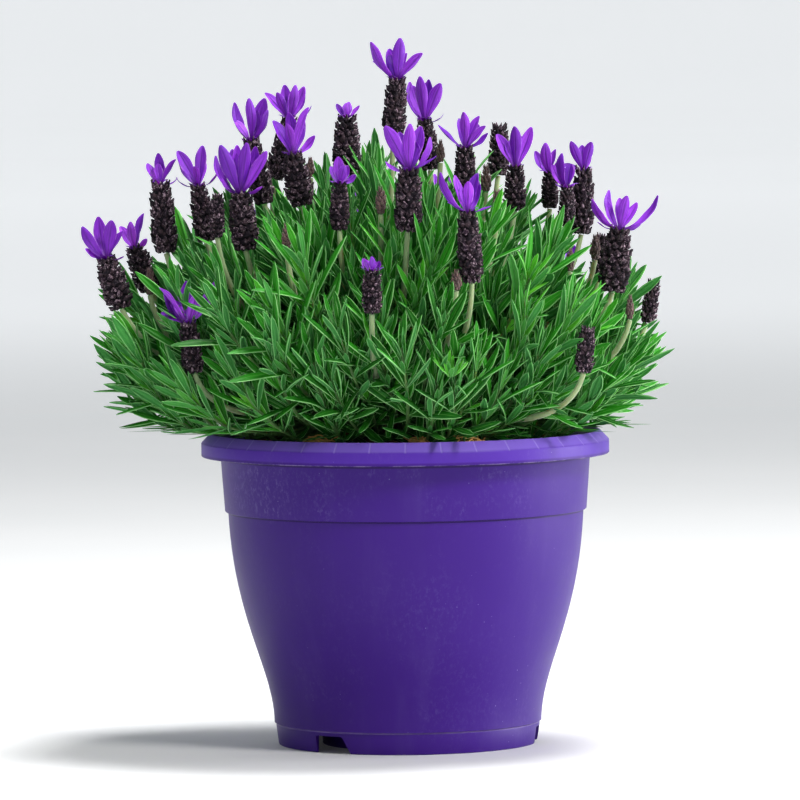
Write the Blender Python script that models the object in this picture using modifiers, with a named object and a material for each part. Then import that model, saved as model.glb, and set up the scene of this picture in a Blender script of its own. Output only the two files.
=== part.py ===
"""Potted lavender: a nursery pot, soil, a woody crown, leafy branches and flower heads with petals."""

import math
import random

import bmesh
import bpy
from mathutils import Matrix, Vector

MM = 0.001
CLEARANCE = 0.3 * MM  # left between pieces that touch

# Pot
POT_HEIGHT = 145.5 * MM
LIP_RADIUS = 95.0 * MM
LIP_HEIGHT = 6.3 * MM
LIP_CHAMFER = 4.4 * MM
LIP_OVERHANG = 8.8 * MM
BAND_RADIUS = LIP_RADIUS - LIP_OVERHANG  # the wall just under the lip
BAND_TAPER = 1.9 * MM  # how much narrower the band is at its lower end
BAND_HEIGHT = 26.1 * MM
BAND_STEP = 1.5 * MM
FOOT_RADIUS = 61.5 * MM
FOOT_TAPER = 1.0 * MM
FOOT_HEIGHT = 9.8 * MM
GROOVE_DEPTH = 0.5 * MM
GROOVE_EDGE = 0.6 * MM  # from the groove to the full width above and below it
FOOT_LEDGE = 0.8 * MM  # how far the bowed wall's lower end stands out past the foot
WALL_PULLS = ((-2.4 * MM, -0.53), (0.6 * MM, 0.26))  # the bow's handles: across, and a share of its fall
CORNER = 0.8 * MM  # the small slope at the band's step and the foot's lower edge
WALL = 1.4 * MM
PAD_RADIUS = 40.0 * MM  # the middle of the base, which stands on the ground
RECESS_HEIGHT = 8.6 * MM  # hollow between the pad and the foot ring
NOTCH_COUNT = 3
NOTCH_BEARING = -37.0  # degrees from the front, to the right
NOTCH_TOP, NOTCH_BOTTOM = 15.0 * MM, 19.0 * MM
NOTCH_HEIGHT = 8.0 * MM
DRAIN_COUNT = 6
DRAIN_RADIUS = 4.0 * MM
CUT_PAST = 6.0 * MM  # how far a cutter reaches past what it cuts
ROUND_STEPS = 36
WALL_POINTS = 5  # along the bowed wall

# Soil and crown
HEAD_SPACE = 6.0 * MM  # from the pot's top down to the soil
SOIL_CROWN = 2.5 * MM  # how much higher the soil is in the middle
SOIL_SHAPE = ((0.4, 0.8), (0.75, 0.3), (1.0, 0.0))  # shares of its radius and of its crown
SOIL_GAP = 0.8 * MM  # round the soil's top edge
SOIL_BEND = 4.0 * MM  # where the soil's side meets the band's step
STUMP_RADIUS = 9.0 * MM
STUMP_DEPTH = 9.0 * MM
CROWN_SHIFT = -8.0 * MM  # the plant leans to the left of the pot's middle
CROWN_ABOVE_SOIL = 3.0 * MM
ARM_REACH = 17.0 * MM
ARM_RADIUS = 2.0 * MM

# Leafy branches
FOLIAGE_RADIUS = 130.0 * MM
BRANCH_COUNT = 12
LOWEST_BRANCH = 9.0  # degrees above level
FIRST_BRANCH = 20.0  # the lowest branch's bearing
MAIN_STEM_REACH = 52.0 * MM
STEM_RADIUS = 1.5 * MM
SHOOT_RADIUS = 1.1 * MM
STALK_RADIUS = 0.9 * MM
STALK_LENGTH = 34.0 * MM  # from the leafy shoot's end to the head's foot
SHOOT_COUNT = 58
PAIRS_ON_SHOOT = 3
PAIRS_UNDER_HEAD = 2
LOWEST_SHOOT = 3.0
LEAF_LENGTH = 36.0 * MM
LEAF_WIDTH = 7.0 * MM
LEAF_THICKNESS = 1.0 * MM
LEAF_SPREAD = 38.0  # degrees between a leaf and its stem
SPREAD_RANGE = (-8.0, 14.0)
TIP_LEAF = 0.7  # the last leaf of a shoot, as a share of a full leaf
TIP_SHARE = (0.65, 0.95)  # how far a shoot ends inside the foliage's radius, in leaf lengths
NODE_HEIGHT = 2.2 * MM  # the length of stem that a pair of leaves grows from
RIM_GAP = 2.0 * MM
HEAD_ROOM = 1.0 * MM  # kept clear round a flower head
BALL_STEP = 2.5 * MM  # between the balls that stand for a stem or a leaf when looking for room
STALK_BEND = 0.45  # the share of a stalk over which it turns into line with its head

# Flower heads: bearing in degrees from the front to the right, rise in degrees above level, how far the
# foot stands beyond the foliage's radius, lean in degrees to the right, length, width, and the height
# and spread of the petals. Lengths are in mm; a head with no petals has 0.
FLOWERS = (
    (-85, 25, 7, -17, 25, 13, 20, 19),
    (-99, 30, 0, -20, 22, 12, 17, 14),
    (-86, 39, 3, -5, 33, 12, 15, 10),
    (-98, 46, -7, -9, 27, 10.5, 18, 19),
    (-61, 49, -16, -6, 27, 13, 25, 24),
    (-100, 61, -9, -12, 31, 11, 20, 17),
    (-130, 59, 6, 14, 30, 10, 18, 20),
    (-68, 68, -16, -11, 25, 13, 21, 17),
    (-112, 80, -9, 0, 28, 13, 9, 9),
    (-20, 56, -14, 0, 22, 9, 13, 9),
    (90, 89, 8, 3, 27, 11, 20, 22),
    (148, 73, -3, -7, 24, 10, 22, 16),
    (7, 53, -10, 2, 29, 12.6, 21, 21),
    (83, 72, -14, 0, 23, 10, 17, 21),
    (23, 37, -8, -4, 33, 11, 19, 20),
    (131, 60, 7, 2, 24, 10, 0, 0),
    (98, 60, -11, 1, 21, 10, 19, 16),
    (101, 45, 0, 2, 31, 11, 14, 10),
    (76, 32, -4, 6, 30, 14, 18, 29),
    (-56, 16, -19, -8, 24, 10, 20, 25),
    (-4, 30, -10, 0, 20, 9, 7, 8),
    (48, 15, -6, 5, 21, 8.5, 0, 0),
    (90, 23, 1, 9, 20, 7.5, 0, 0),
    (101, 35, -7, 5, 21, 9, 0, 0),
)
SPIKE_RANKS = 4
JOINED_RANKS = 3
SPIKE_SIDES = 6
PETAL_COUNT = 5
PETAL_WIDTH = 7.0 * MM
PETAL_THICKNESS = 0.8 * MM
CALYX_RADIUS = 2.2 * MM
CALYX_HEIGHT = 1.6 * MM

# Heads with no node of their own: bearing, rise, beyond, length and width. The first eight are buds
# on the front and sides, and the last six are full heads on the back.
JOINED_HEADS = (
    (-86, 30, -2, 12, 5),
    (-62, 46, -2, 20, 7),
    (-33, 46, -8, 11, 5),
    (-3, 58, -8, 12, 5),
    (18, 35, -8, 9, 5),
    (50, 57, -10, 13, 5),
    (105, 53, 0, 17, 8),
    (84, 40, -4, 11, 5),
    (-150, 28, 0, 26, 11),
    (-172, 30, 2, 28, 12),
    (165, 38, -8, 25, 11),
    (140, 20, 0, 27, 11),
    (-125, 10, -6, 24, 11),
    (118, 14, -8, 24, 10),
)

POT_PURPLE = (0.072, 0.026, 0.262)
SOIL_BROWN = (0.035, 0.022, 0.014)
BARK_BROWN = (0.13, 0.085, 0.05)
LEAF_GREEN = (0.06, 0.21, 0.045)
SPIKE_DARK = (0.025, 0.012, 0.022)
PETAL_VIOLET = (0.26, 0.04, 0.55)

chance = random.Random(7)


def clear_scene():
    for obj in list(bpy.data.objects):
        bpy.data.objects.remove(obj, do_unlink=True)


def new_collection(name):
    collection = bpy.data.collections.new(name)
    bpy.context.scene.collection.children.link(collection)
    return collection


def new_material(name, colour, roughness):
    material = bpy.data.materials.new(name)
    material.use_nodes = True
    shader = material.node_tree.nodes["Principled BSDF"]
    shader.inputs["Base Color"].default_value = (*colour, 1.0)
    shader.inputs["Roughness"].default_value = roughness
    shader.inputs["Metallic"].default_value = 0.0
    return material


def add_object(name, bm, material, collection):
    mesh = bpy.data.meshes.new(name)
    bm.to_mesh(mesh)
    bm.free()
    obj = bpy.data.objects.new(name, mesh)
    mesh.materials.append(material)
    collection.objects.link(obj)
    return obj


def add_cutter(name, bm, collection):
    mesh = bpy.data.meshes.new(name)
    bm.to_mesh(mesh)
    bm.free()
    obj = bpy.data.objects.new(name, mesh)
    obj.hide_render = True
    obj.display_type = "WIRE"
    collection.objects.link(obj)
    return obj


def cut(obj, cutter):
    boolean = obj.modifiers.new(cutter.name, "BOOLEAN")
    boolean.operation = "DIFFERENCE"
    boolean.object = cutter


def turned(name, profile, material, collection):
    """A turned body from (radius, height) points that run from the axis round to the axis again."""
    bm = bmesh.new()
    points = [bm.verts.new((radius, 0.0, height)) for radius, height in profile]
    for first, second in zip(points, points[1:]):
        bm.edges.new((first, second))
    obj = add_object(name, bm, material, collection)
    screw = obj.modifiers.new("turn", "SCREW")
    screw.steps = screw.render_steps = ROUND_STEPS
    screw.use_merge_vertices = True
    screw.merge_threshold = 0.00005
    screw.use_smooth_shade = True
    screw.use_normal_calculate = True
    return obj


def heading(bearing, rise):
    """A direction from its bearing (degrees from the front, to the right) and its rise above level."""
    b, e = math.radians(bearing), math.radians(rise)
    return Vector((math.cos(e) * math.sin(b), -math.cos(e) * math.cos(b), math.sin(e)))


# --- pot and soil ---------------------------------------------------------------------------------


def curve_points(start, pull_1, pull_2, end, count):
    """Points along a Bezier curve after its start, in (radius, height)."""
    found = []
    for i in range(1, count + 1):
        t = i / count
        weights = ((1 - t) ** 3, 3 * t * (1 - t) ** 2, 3 * t * t * (1 - t), t**3)
        points = (start, pull_1, pull_2, end)
        found.append(tuple(sum(w * p[axis] for w, p in zip(weights, points)) for axis in (0, 1)))
    return found


def wall_curve(inset):
    """The bowed wall between the band and the foot, moved in by `inset`."""
    top = (BAND_RADIUS - BAND_TAPER - BAND_STEP - inset, POT_HEIGHT - LIP_CHAMFER - LIP_HEIGHT - BAND_HEIGHT)
    bottom = (FOOT_RADIUS + FOOT_LEDGE - inset, FOOT_HEIGHT + GROOVE_EDGE)
    fall = top[1] - bottom[1]
    (across_1, share_1), (across_2, share_2) = WALL_PULLS
    pull_1 = (top[0] + across_1, top[1] + share_1 * fall)
    pull_2 = (bottom[0] + across_2, bottom[1] + share_2 * fall)
    return [top] + curve_points(top, pull_1, pull_2, bottom, WALL_POINTS)


def pot_profile():
    lip_top = POT_HEIGHT - LIP_CHAMFER
    lip_bottom = lip_top - LIP_HEIGHT
    floor = RECESS_HEIGHT + WALL
    inner = [
        (0.0, WALL),
        (PAD_RADIUS - WALL, WALL),
        (PAD_RADIUS - WALL, floor),
        (FOOT_RADIUS - FOOT_TAPER - WALL, floor),
    ]
    inner += wall_curve(WALL)[-2::-1]
    inner += [
        (BAND_RADIUS - BAND_TAPER - WALL, lip_bottom - BAND_HEIGHT + 1.0 * MM),
        (BAND_RADIUS - WALL, lip_top - 2.0 * MM),
        (LIP_RADIUS - LIP_CHAMFER - WALL, POT_HEIGHT),
    ]
    outer = [
        (LIP_RADIUS - LIP_CHAMFER, POT_HEIGHT),
        (LIP_RADIUS, lip_top),
        (LIP_RADIUS, lip_bottom),
        (LIP_RADIUS - WALL, lip_bottom),
        (LIP_RADIUS - WALL, lip_top - 1.5 * MM),
        (BAND_RADIUS + 1.0 * MM, lip_top - 1.0 * MM),
        (BAND_RADIUS, lip_bottom),
        (BAND_RADIUS - BAND_TAPER, lip_bottom - BAND_HEIGHT + CORNER),
    ]
    outer += wall_curve(0.0)
    outer += [
        (FOOT_RADIUS + 0.3 * MM - GROOVE_DEPTH, FOOT_HEIGHT),
        (FOOT_RADIUS, FOOT_HEIGHT - GROOVE_EDGE),
        (FOOT_RADIUS - FOOT_TAPER + 0.1 * MM, CORNER),
        (FOOT_RADIUS - FOOT_TAPER - 0.5 * MM, 0.0),
        (FOOT_RADIUS - FOOT_TAPER - WALL, 0.0),
        (FOOT_RADIUS - FOOT_TAPER - WALL, RECESS_HEIGHT),
        (PAD_RADIUS, RECESS_HEIGHT),
        (PAD_RADIUS, 0.0),
        (0.0, 0.0),
    ]
    return inner + outer


def notch_cutter(collection):
    """Wedges under the foot ring, upright on one side and slanted on the other."""
    bm = bmesh.new()
    inner, outer = PAD_RADIUS + CUT_PAST, FOOT_RADIUS + CUT_PAST
    for i in range(NOTCH_COUNT):
        bearing = NOTCH_BEARING + 360.0 * i / NOTCH_COUNT
        out = heading(bearing, 0.0)
        side = heading(bearing + 90.0, 0.0)
        verts = bmesh.ops.create_cube(bm, size=1.0)["verts"]
        for vert in verts:
            reach = outer if vert.co.y > 0 else inner
            left = vert.co.x < 0
            high = vert.co.z > 0
            across = -0.5 * NOTCH_TOP if left else 0.5 * NOTCH_TOP
            if not left and not high:
                across += NOTCH_BOTTOM - NOTCH_TOP
            height = NOTCH_HEIGHT if high else -CUT_PAST
            vert.co = out * reach + side * across + Vector((0.0, 0.0, height))
    bmesh.ops.recalc_face_normals(bm, faces=bm.faces)
    return add_cutter("notch_cutter", bm, collection)


def drain_cutter(collection):
    bm = bmesh.new()
    ring = 0.5 * (PAD_RADIUS + FOOT_RADIUS - FOOT_TAPER - WALL)
    for i in range(DRAIN_COUNT):
        made = bmesh.ops.create_cone(
            bm, cap_ends=True, segments=12, radius1=DRAIN_RADIUS, radius2=DRAIN_RADIUS, depth=CUT_PAST
        )
        centre = heading(360.0 * (i + 0.5) / DRAIN_COUNT, 0.0) * ring
        bmesh.ops.translate(bm, verts=made["verts"], vec=centre + Vector((0, 0, RECESS_HEIGHT + 0.5 * WALL)))
    return add_cutter("drain_cutter", bm, collection)


def make_pot(collection, cutters):
    pot = turned("pot", pot_profile(), new_material("pot_plastic", POT_PURPLE, 0.42), collection)
    cut(pot, notch_cutter(cutters))
    cut(pot, drain_cutter(cutters))


def soil_height():
    return POT_HEIGHT - HEAD_SPACE


def crown_centre():
    return Vector((CROWN_SHIFT, 0.0, soil_height() + SOIL_CROWN + CROWN_ABOVE_SOIL))


def make_soil(collection, cutters):
    floor = RECESS_HEIGHT + WALL + CLEARANCE
    edge = wall_curve(WALL + CLEARANCE)[:-1]
    top_radius = BAND_RADIUS - WALL - CLEARANCE - SOIL_GAP
    band_bottom = edge[0][1]
    profile = [(0.0, soil_height() + SOIL_CROWN)]
    profile += [(out * top_radius, soil_height() + rise * SOIL_CROWN) for out, rise in SOIL_SHAPE]
    profile.append((BAND_RADIUS - BAND_TAPER - WALL - CLEARANCE - 0.5 * SOIL_GAP, band_bottom + SOIL_BEND))
    profile += edge
    profile += [
        (FOOT_RADIUS - FOOT_TAPER - WALL - 1.0 * MM, floor),
        (PAD_RADIUS - WALL - CLEARANCE, floor),
        (PAD_RADIUS - WALL - CLEARANCE, WALL + CLEARANCE),
        (0.0, WALL + CLEARANCE),
    ]
    soil = turned("soil", profile, new_material("potting_soil", SOIL_BROWN, 0.95), collection)
    bm = bmesh.new()
    depth = STUMP_DEPTH + CROWN_ABOVE_SOIL
    hole = STUMP_RADIUS + CLEARANCE
    made = bmesh.ops.create_cone(bm, cap_ends=True, segments=16, radius1=hole, radius2=hole, depth=2 * depth)
    socket_floor = soil_height() + SOIL_CROWN - STUMP_DEPTH - CLEARANCE
    bmesh.ops.translate(bm, verts=made["verts"], vec=(CROWN_SHIFT, 0.0, socket_floor + depth))
    cut(soil, add_cutter("stump_socket", bm, cutters))


# --- growing shapes: a face of a closed mesh is extruded again and again -----------------------------


def extrude_to(bm, face, centre, along, across, half_a, half_b):
    """Extrudes a four-sided face to `centre`, square to `along` and 2 * half_a wide along `across`."""
    new = bmesh.ops.extrude_discrete_faces(bm, faces=[face])["faces"][0]
    along = along.normalized()
    side_a = (across - along * across.dot(along)).normalized()
    side_b = along.cross(side_a)
    corners = [
        side_a * half_a + side_b * half_b,
        side_b * half_b - side_a * half_a,
        -side_a * half_a - side_b * half_b,
        side_a * half_a - side_b * half_b,
    ]
    verts = list(new.verts)
    middle = new.calc_center_median()
    rays = [(vert.co - middle).normalized() for vert in verts]

    def twist(turn):
        return sum(rays[i].dot(corners[(i + turn) % 4].normalized()) for i in range(4))

    turn = max(range(4), key=twist)
    for i, vert in enumerate(verts):
        vert.co = centre + corners[(i + turn) % 4]
    return new


def side_faces(face):
    """The faces round an extruded face, which lead back to where it came from."""
    return [other for edge in face.edges for other in edge.link_faces if other is not face]


def leaf_line(face, direction, across, length):
    """The middle line of a leaf with a slight outward curl: its base, its broadest place and its tip."""
    start = face.calc_center_median()
    down = across.cross(direction).normalized()
    if down.z > 0:
        down = -down
    return [start, start + direction * 0.42 * length, start + direction * length + down * 0.09 * length]


def grow_leaf(bm, face, line, across, width):
    """A flat, pointed leaf along its middle line, from a face of the stem."""
    start, middle, tip = line
    face = extrude_to(bm, face, middle, middle - start, across, 0.5 * width, 0.5 * LEAF_THICKNESS)
    extrude_to(bm, face, tip, tip - middle, across, 0.09 * width, 0.3 * LEAF_THICKNESS)


def grow_bract(bm, face, direction, across, length, width):
    """A petal-like bract: a narrow neck, a broad blade and a rounded tip."""
    start = face.calc_center_median()
    up = Vector((0.0, 0.0, 1.0))
    neck = start + direction * 0.22 * length
    blade = neck + (direction * 0.9 + up * 0.25).normalized() * 0.45 * length
    tip = blade + (direction * 0.7 + up * 0.55).normalized() * 0.33 * length
    thick = 0.5 * PETAL_THICKNESS
    face = extrude_to(bm, face, neck, direction, across, 0.2 * width, thick)
    face = extrude_to(bm, face, blade, blade - neck, across, 0.5 * width, thick)
    extrude_to(bm, face, tip, tip - blade, across, 0.2 * width, 0.7 * thick)


class Space:
    """What has been placed so far, as balls. A new piece goes in where it clears them."""

    def __init__(self):
        self.balls = []

    @staticmethod
    def row(points, radius):
        balls = []
        for first, second in zip(points, points[1:]):
            count = max(1, math.ceil((second - first).length / BALL_STEP))
            balls += [(first.lerp(second, i / count), radius) for i in range(count)]
        balls.append((points[-1], radius))
        return balls

    def add(self, points, radius, owner):
        self.balls += [(centre, size, owner) for centre, size in self.row(points, radius)]

    def room(self, points, radius, *ignored):
        """The least gap between balls along the points and what is placed. It is below zero for a clash."""
        row = self.row(points, radius + CLEARANCE)
        middle = 0.5 * (points[0] + points[-1])
        reach = max((ball[0] - middle).length for ball in row) + radius + CLEARANCE
        near = [b for b in self.balls if b[2] not in ignored and (b[0] - middle).length < reach + b[1]]
        return min(((a[0] - b[0]).length - a[1] - b[1] for a in row for b in near), default=reach)


def above_pot(point, radius):
    """Whether a ball of this radius clears the soil and the pot's lip."""
    out = math.hypot(point.x, point.y)
    if out > LIP_RADIUS + radius + RIM_GAP:
        return point.z > POT_HEIGHT - LIP_CHAMFER - LIP_HEIGHT
    if out > LIP_RADIUS - LIP_CHAMFER - WALL - radius - RIM_GAP:
        return point.z > POT_HEIGHT + radius + RIM_GAP
    return point.z > soil_height() + SOIL_CROWN + radius + RIM_GAP


def dome_headings(count, lowest, first_bearing):
    """Directions spread evenly over the dome, from the lowest up to the top."""
    low = math.sin(math.radians(lowest))
    golden = 180.0 * (3.0 - math.sqrt(5.0))
    found = []
    for i in range(count):
        rise = math.degrees(math.asin(low + (1.0 - low) * (i + 0.5) / count))
        found.append(heading(first_bearing + golden * i, rise))
    return found


def branch_headings():
    return dome_headings(BRANCH_COUNT, LOWEST_BRANCH, FIRST_BRANCH)


def make_crown(collection):
    """A knob at the soil's surface whose faces grow out into one arm for each branch."""
    centre = crown_centre()
    bm = bmesh.new()
    bmesh.ops.create_cube(bm, size=1.0)
    bmesh.ops.subdivide_edges(bm, edges=bm.edges, cuts=2, use_grid_fill=True)
    for vert in bm.verts:
        ray = vert.co.normalized()
        if ray.z < -0.1:
            level = Vector((ray.x, ray.y, 0.0))
            vert.co = level * STUMP_RADIUS * 0.95
            vert.co.z = -(CROWN_ABOVE_SOIL + STUMP_DEPTH) * min(1.0, -ray.z * 1.25)
        else:
            vert.co = ray * STUMP_RADIUS * 0.95
    bmesh.ops.recalc_face_normals(bm, faces=bm.faces)
    bm.faces.ensure_lookup_table()
    free = [face for face in bm.faces if face.normal.z > -0.2]
    for direction in sorted(branch_headings(), key=lambda d: d.z):
        face = max(free, key=lambda f: f.calc_center_median().normalized().dot(direction))
        free.remove(face)
        end = direction * ARM_REACH
        across = direction.cross(Vector((0.3, 0.1, 1.0)))
        extrude_to(bm, face, end, direction, across, ARM_RADIUS, ARM_RADIUS)
    bmesh.ops.translate(bm, verts=bm.verts, vec=centre)
    add_object("woody_crown", bm, new_material("old_wood", BARK_BROWN, 0.85), collection)


# --- flower heads ----------------------------------------------------------------------------------


class Head:
    """Where a flower head stands: its foot, its axis and its sizes."""

    def __init__(self, bearing, rise, beyond, lean, length, width, petals=0.0, spread=0.0):
        self.foot = crown_centre() + heading(bearing, rise) * (FOLIAGE_RADIUS + beyond * MM)
        tilt = math.radians(lean)
        outward = 0.1 * math.cos(math.radians(rise))
        back = -outward * math.cos(math.radians(bearing))
        self.axis = Vector((math.sin(tilt), back, math.cos(tilt))).normalized()
        self.length = length * MM
        self.radius = 0.5 * width * MM
        self.petals = petals * MM
        self.spread = 0.5 * spread * MM
        self.top = self.foot + self.axis * self.length
        self.name = f"head_{bearing}_{rise}"

    def sides(self):
        side_a = self.axis.cross(Vector((0.0, 1.0, 0.2))).normalized()
        return side_a, self.axis.cross(side_a)


def barrel_radii(radius, ranks):
    """(height share, radius) pairs of a barrel built from ranks of scales, each wider at its top."""
    found = []
    for rank in range(ranks):
        middle = (rank + 0.5) / ranks
        full = radius * (0.78 + 0.22 * math.sin(math.pi * min(1.0, middle * 1.15)))
        found.append(((rank + 0.12) / ranks, 0.74 * full))
        found.append(((rank + 0.92) / ranks, full))
    return found


def extrude_round(bm, face, centre, radius):
    """Extrudes a many-sided face to `centre` and gives it this radius."""
    middle = face.calc_center_median()
    new = bmesh.ops.extrude_discrete_faces(bm, faces=[face])["faces"][0]
    for vert in new.verts:
        vert.co = centre + (vert.co - middle).normalized() * radius
    return new


def make_spike(name, head, material, collection):
    """A barrel of scale ranks, from its narrow foot to its top."""
    bm = bmesh.new()
    rings = [(0.0, 0.5 * head.radius)] + barrel_radii(head.radius, SPIKE_RANKS) + [(1.0, 0.4 * head.radius)]
    bmesh.ops.create_cone(
        bm, cap_ends=True, segments=SPIKE_SIDES, radius1=rings[0][1], radius2=rings[1][1], depth=2.0
    )
    side_a, side_b = head.sides()
    for vert in bm.verts:
        share = rings[1][0] if vert.co.z > 0 else 0.0
        rise = head.axis * head.length * share
        vert.co = head.foot + rise + side_a * vert.co.x + side_b * vert.co.y
    bm.normal_update()
    face = max(bm.faces, key=lambda f: f.normal.dot(head.axis))
    for share, radius in rings[2:]:
        face = extrude_round(bm, face, head.foot + head.axis * head.length * share, radius)
    add_object(name, bm, material, collection)


def make_petals(name, head, material, collection):
    """A short calyx on top of the spike whose side faces grow out into bracts."""
    bm = bmesh.new()
    radius = CALYX_RADIUS
    bmesh.ops.create_cone(
        bm, cap_ends=True, segments=PETAL_COUNT, radius1=radius, radius2=radius, depth=CALYX_HEIGHT
    )
    bmesh.ops.rotate(bm, verts=bm.verts, matrix=Matrix.Rotation(chance.uniform(0.0, 1.2), 3, "Z"))
    side_a, side_b = head.sides()
    middle = head.top + head.axis * (CLEARANCE + 0.5 * CALYX_HEIGHT)
    for vert in bm.verts:
        vert.co = middle + side_a * vert.co.x + side_b * vert.co.y + head.axis * vert.co.z
    bm.normal_update()
    for face in [f for f in bm.faces if len(f.verts) == 4]:
        out = face.normal.copy()
        reach = max(head.spread, 2.0 * CALYX_RADIUS) * chance.uniform(0.8, 1.0)
        rise = head.petals * chance.uniform(0.85, 1.0)
        length = math.hypot(reach, rise)
        direction = (out * reach + head.axis * rise).normalized()
        grow_bract(bm, face, direction, out.cross(head.axis), length, min(PETAL_WIDTH, 0.5 * length))
    add_object(name, bm, material, collection)


# --- leafy branches ----------------------------------------------------------------------------------


def bezier(start, pull, end, count):
    """Points after the start along a bent line."""
    found = []
    for i in range(1, count + 1):
        t = i / count
        found.append(start * (1 - t) ** 2 + pull * 2 * t * (1 - t) + end * t * t)
    return found


def shoot_path(face, end, count):
    """Points of a shoot that leaves the face squarely and bends over to its end."""
    start = face.calc_center_median()
    ahead = (end - start).normalized()
    pull = start + (face.normal * 0.45 + ahead * 0.55).normalized() * 0.5 * (end - start).length
    return [start] + bezier(start, pull, end, count)


def stalk_path(start, end, axis):
    """Points of a bare stalk that arrives along the head's axis."""
    return bezier(start, end - axis * STALK_BEND * (end - start).length, end, 3)


def shoot_end_below(head):
    """Where the leafy shoot ends and the head's bare stalk begins."""
    return head.foot - (head.foot - crown_centre()).normalized() * STALK_LENGTH


def pick_face(free, end, space, count, owner):
    """The free face that looks most directly at the shoot's end with a clear path, and the path's room.
    Where no path is clear it is the face whose path has most room, and that room is below zero."""

    def aim(face):
        return (end - face.calc_center_median()).normalized().dot(face.normal)

    roomiest, most = None, -math.inf
    for face in sorted(free, key=aim, reverse=True):
        path = shoot_path(face, end, count)
        path[0] = path[0].lerp(path[1], 0.4)
        room = space.room(path, 1.5 * SHOOT_RADIUS, owner)
        if room > most:
            roomiest, most = face, room
        if room > 0.0:
            break
    return roomiest, most


def grow_where_clear(bm, face, line, across, width, space, owner):
    """Adds a leaf if it clears the pot, the soil and everything placed so far, but for its own stem."""
    radius = 0.5 * width
    leaves = owner + "_leaf"
    neck = [line[0], line[0].lerp(line[1], 0.4)]
    blade = [neck[1], line[1], line[2]]
    if not all(above_pot(point, radius) for point in blade):
        return
    if space.room(neck, 0.5 * radius, owner, leaves) > 0.0 and space.room(blade, radius, owner) > 0.0:
        grow_leaf(bm, face, line, across, width)
        space.add(neck, 0.5 * radius, leaves)
        space.add(blade, radius, leaves)


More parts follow.
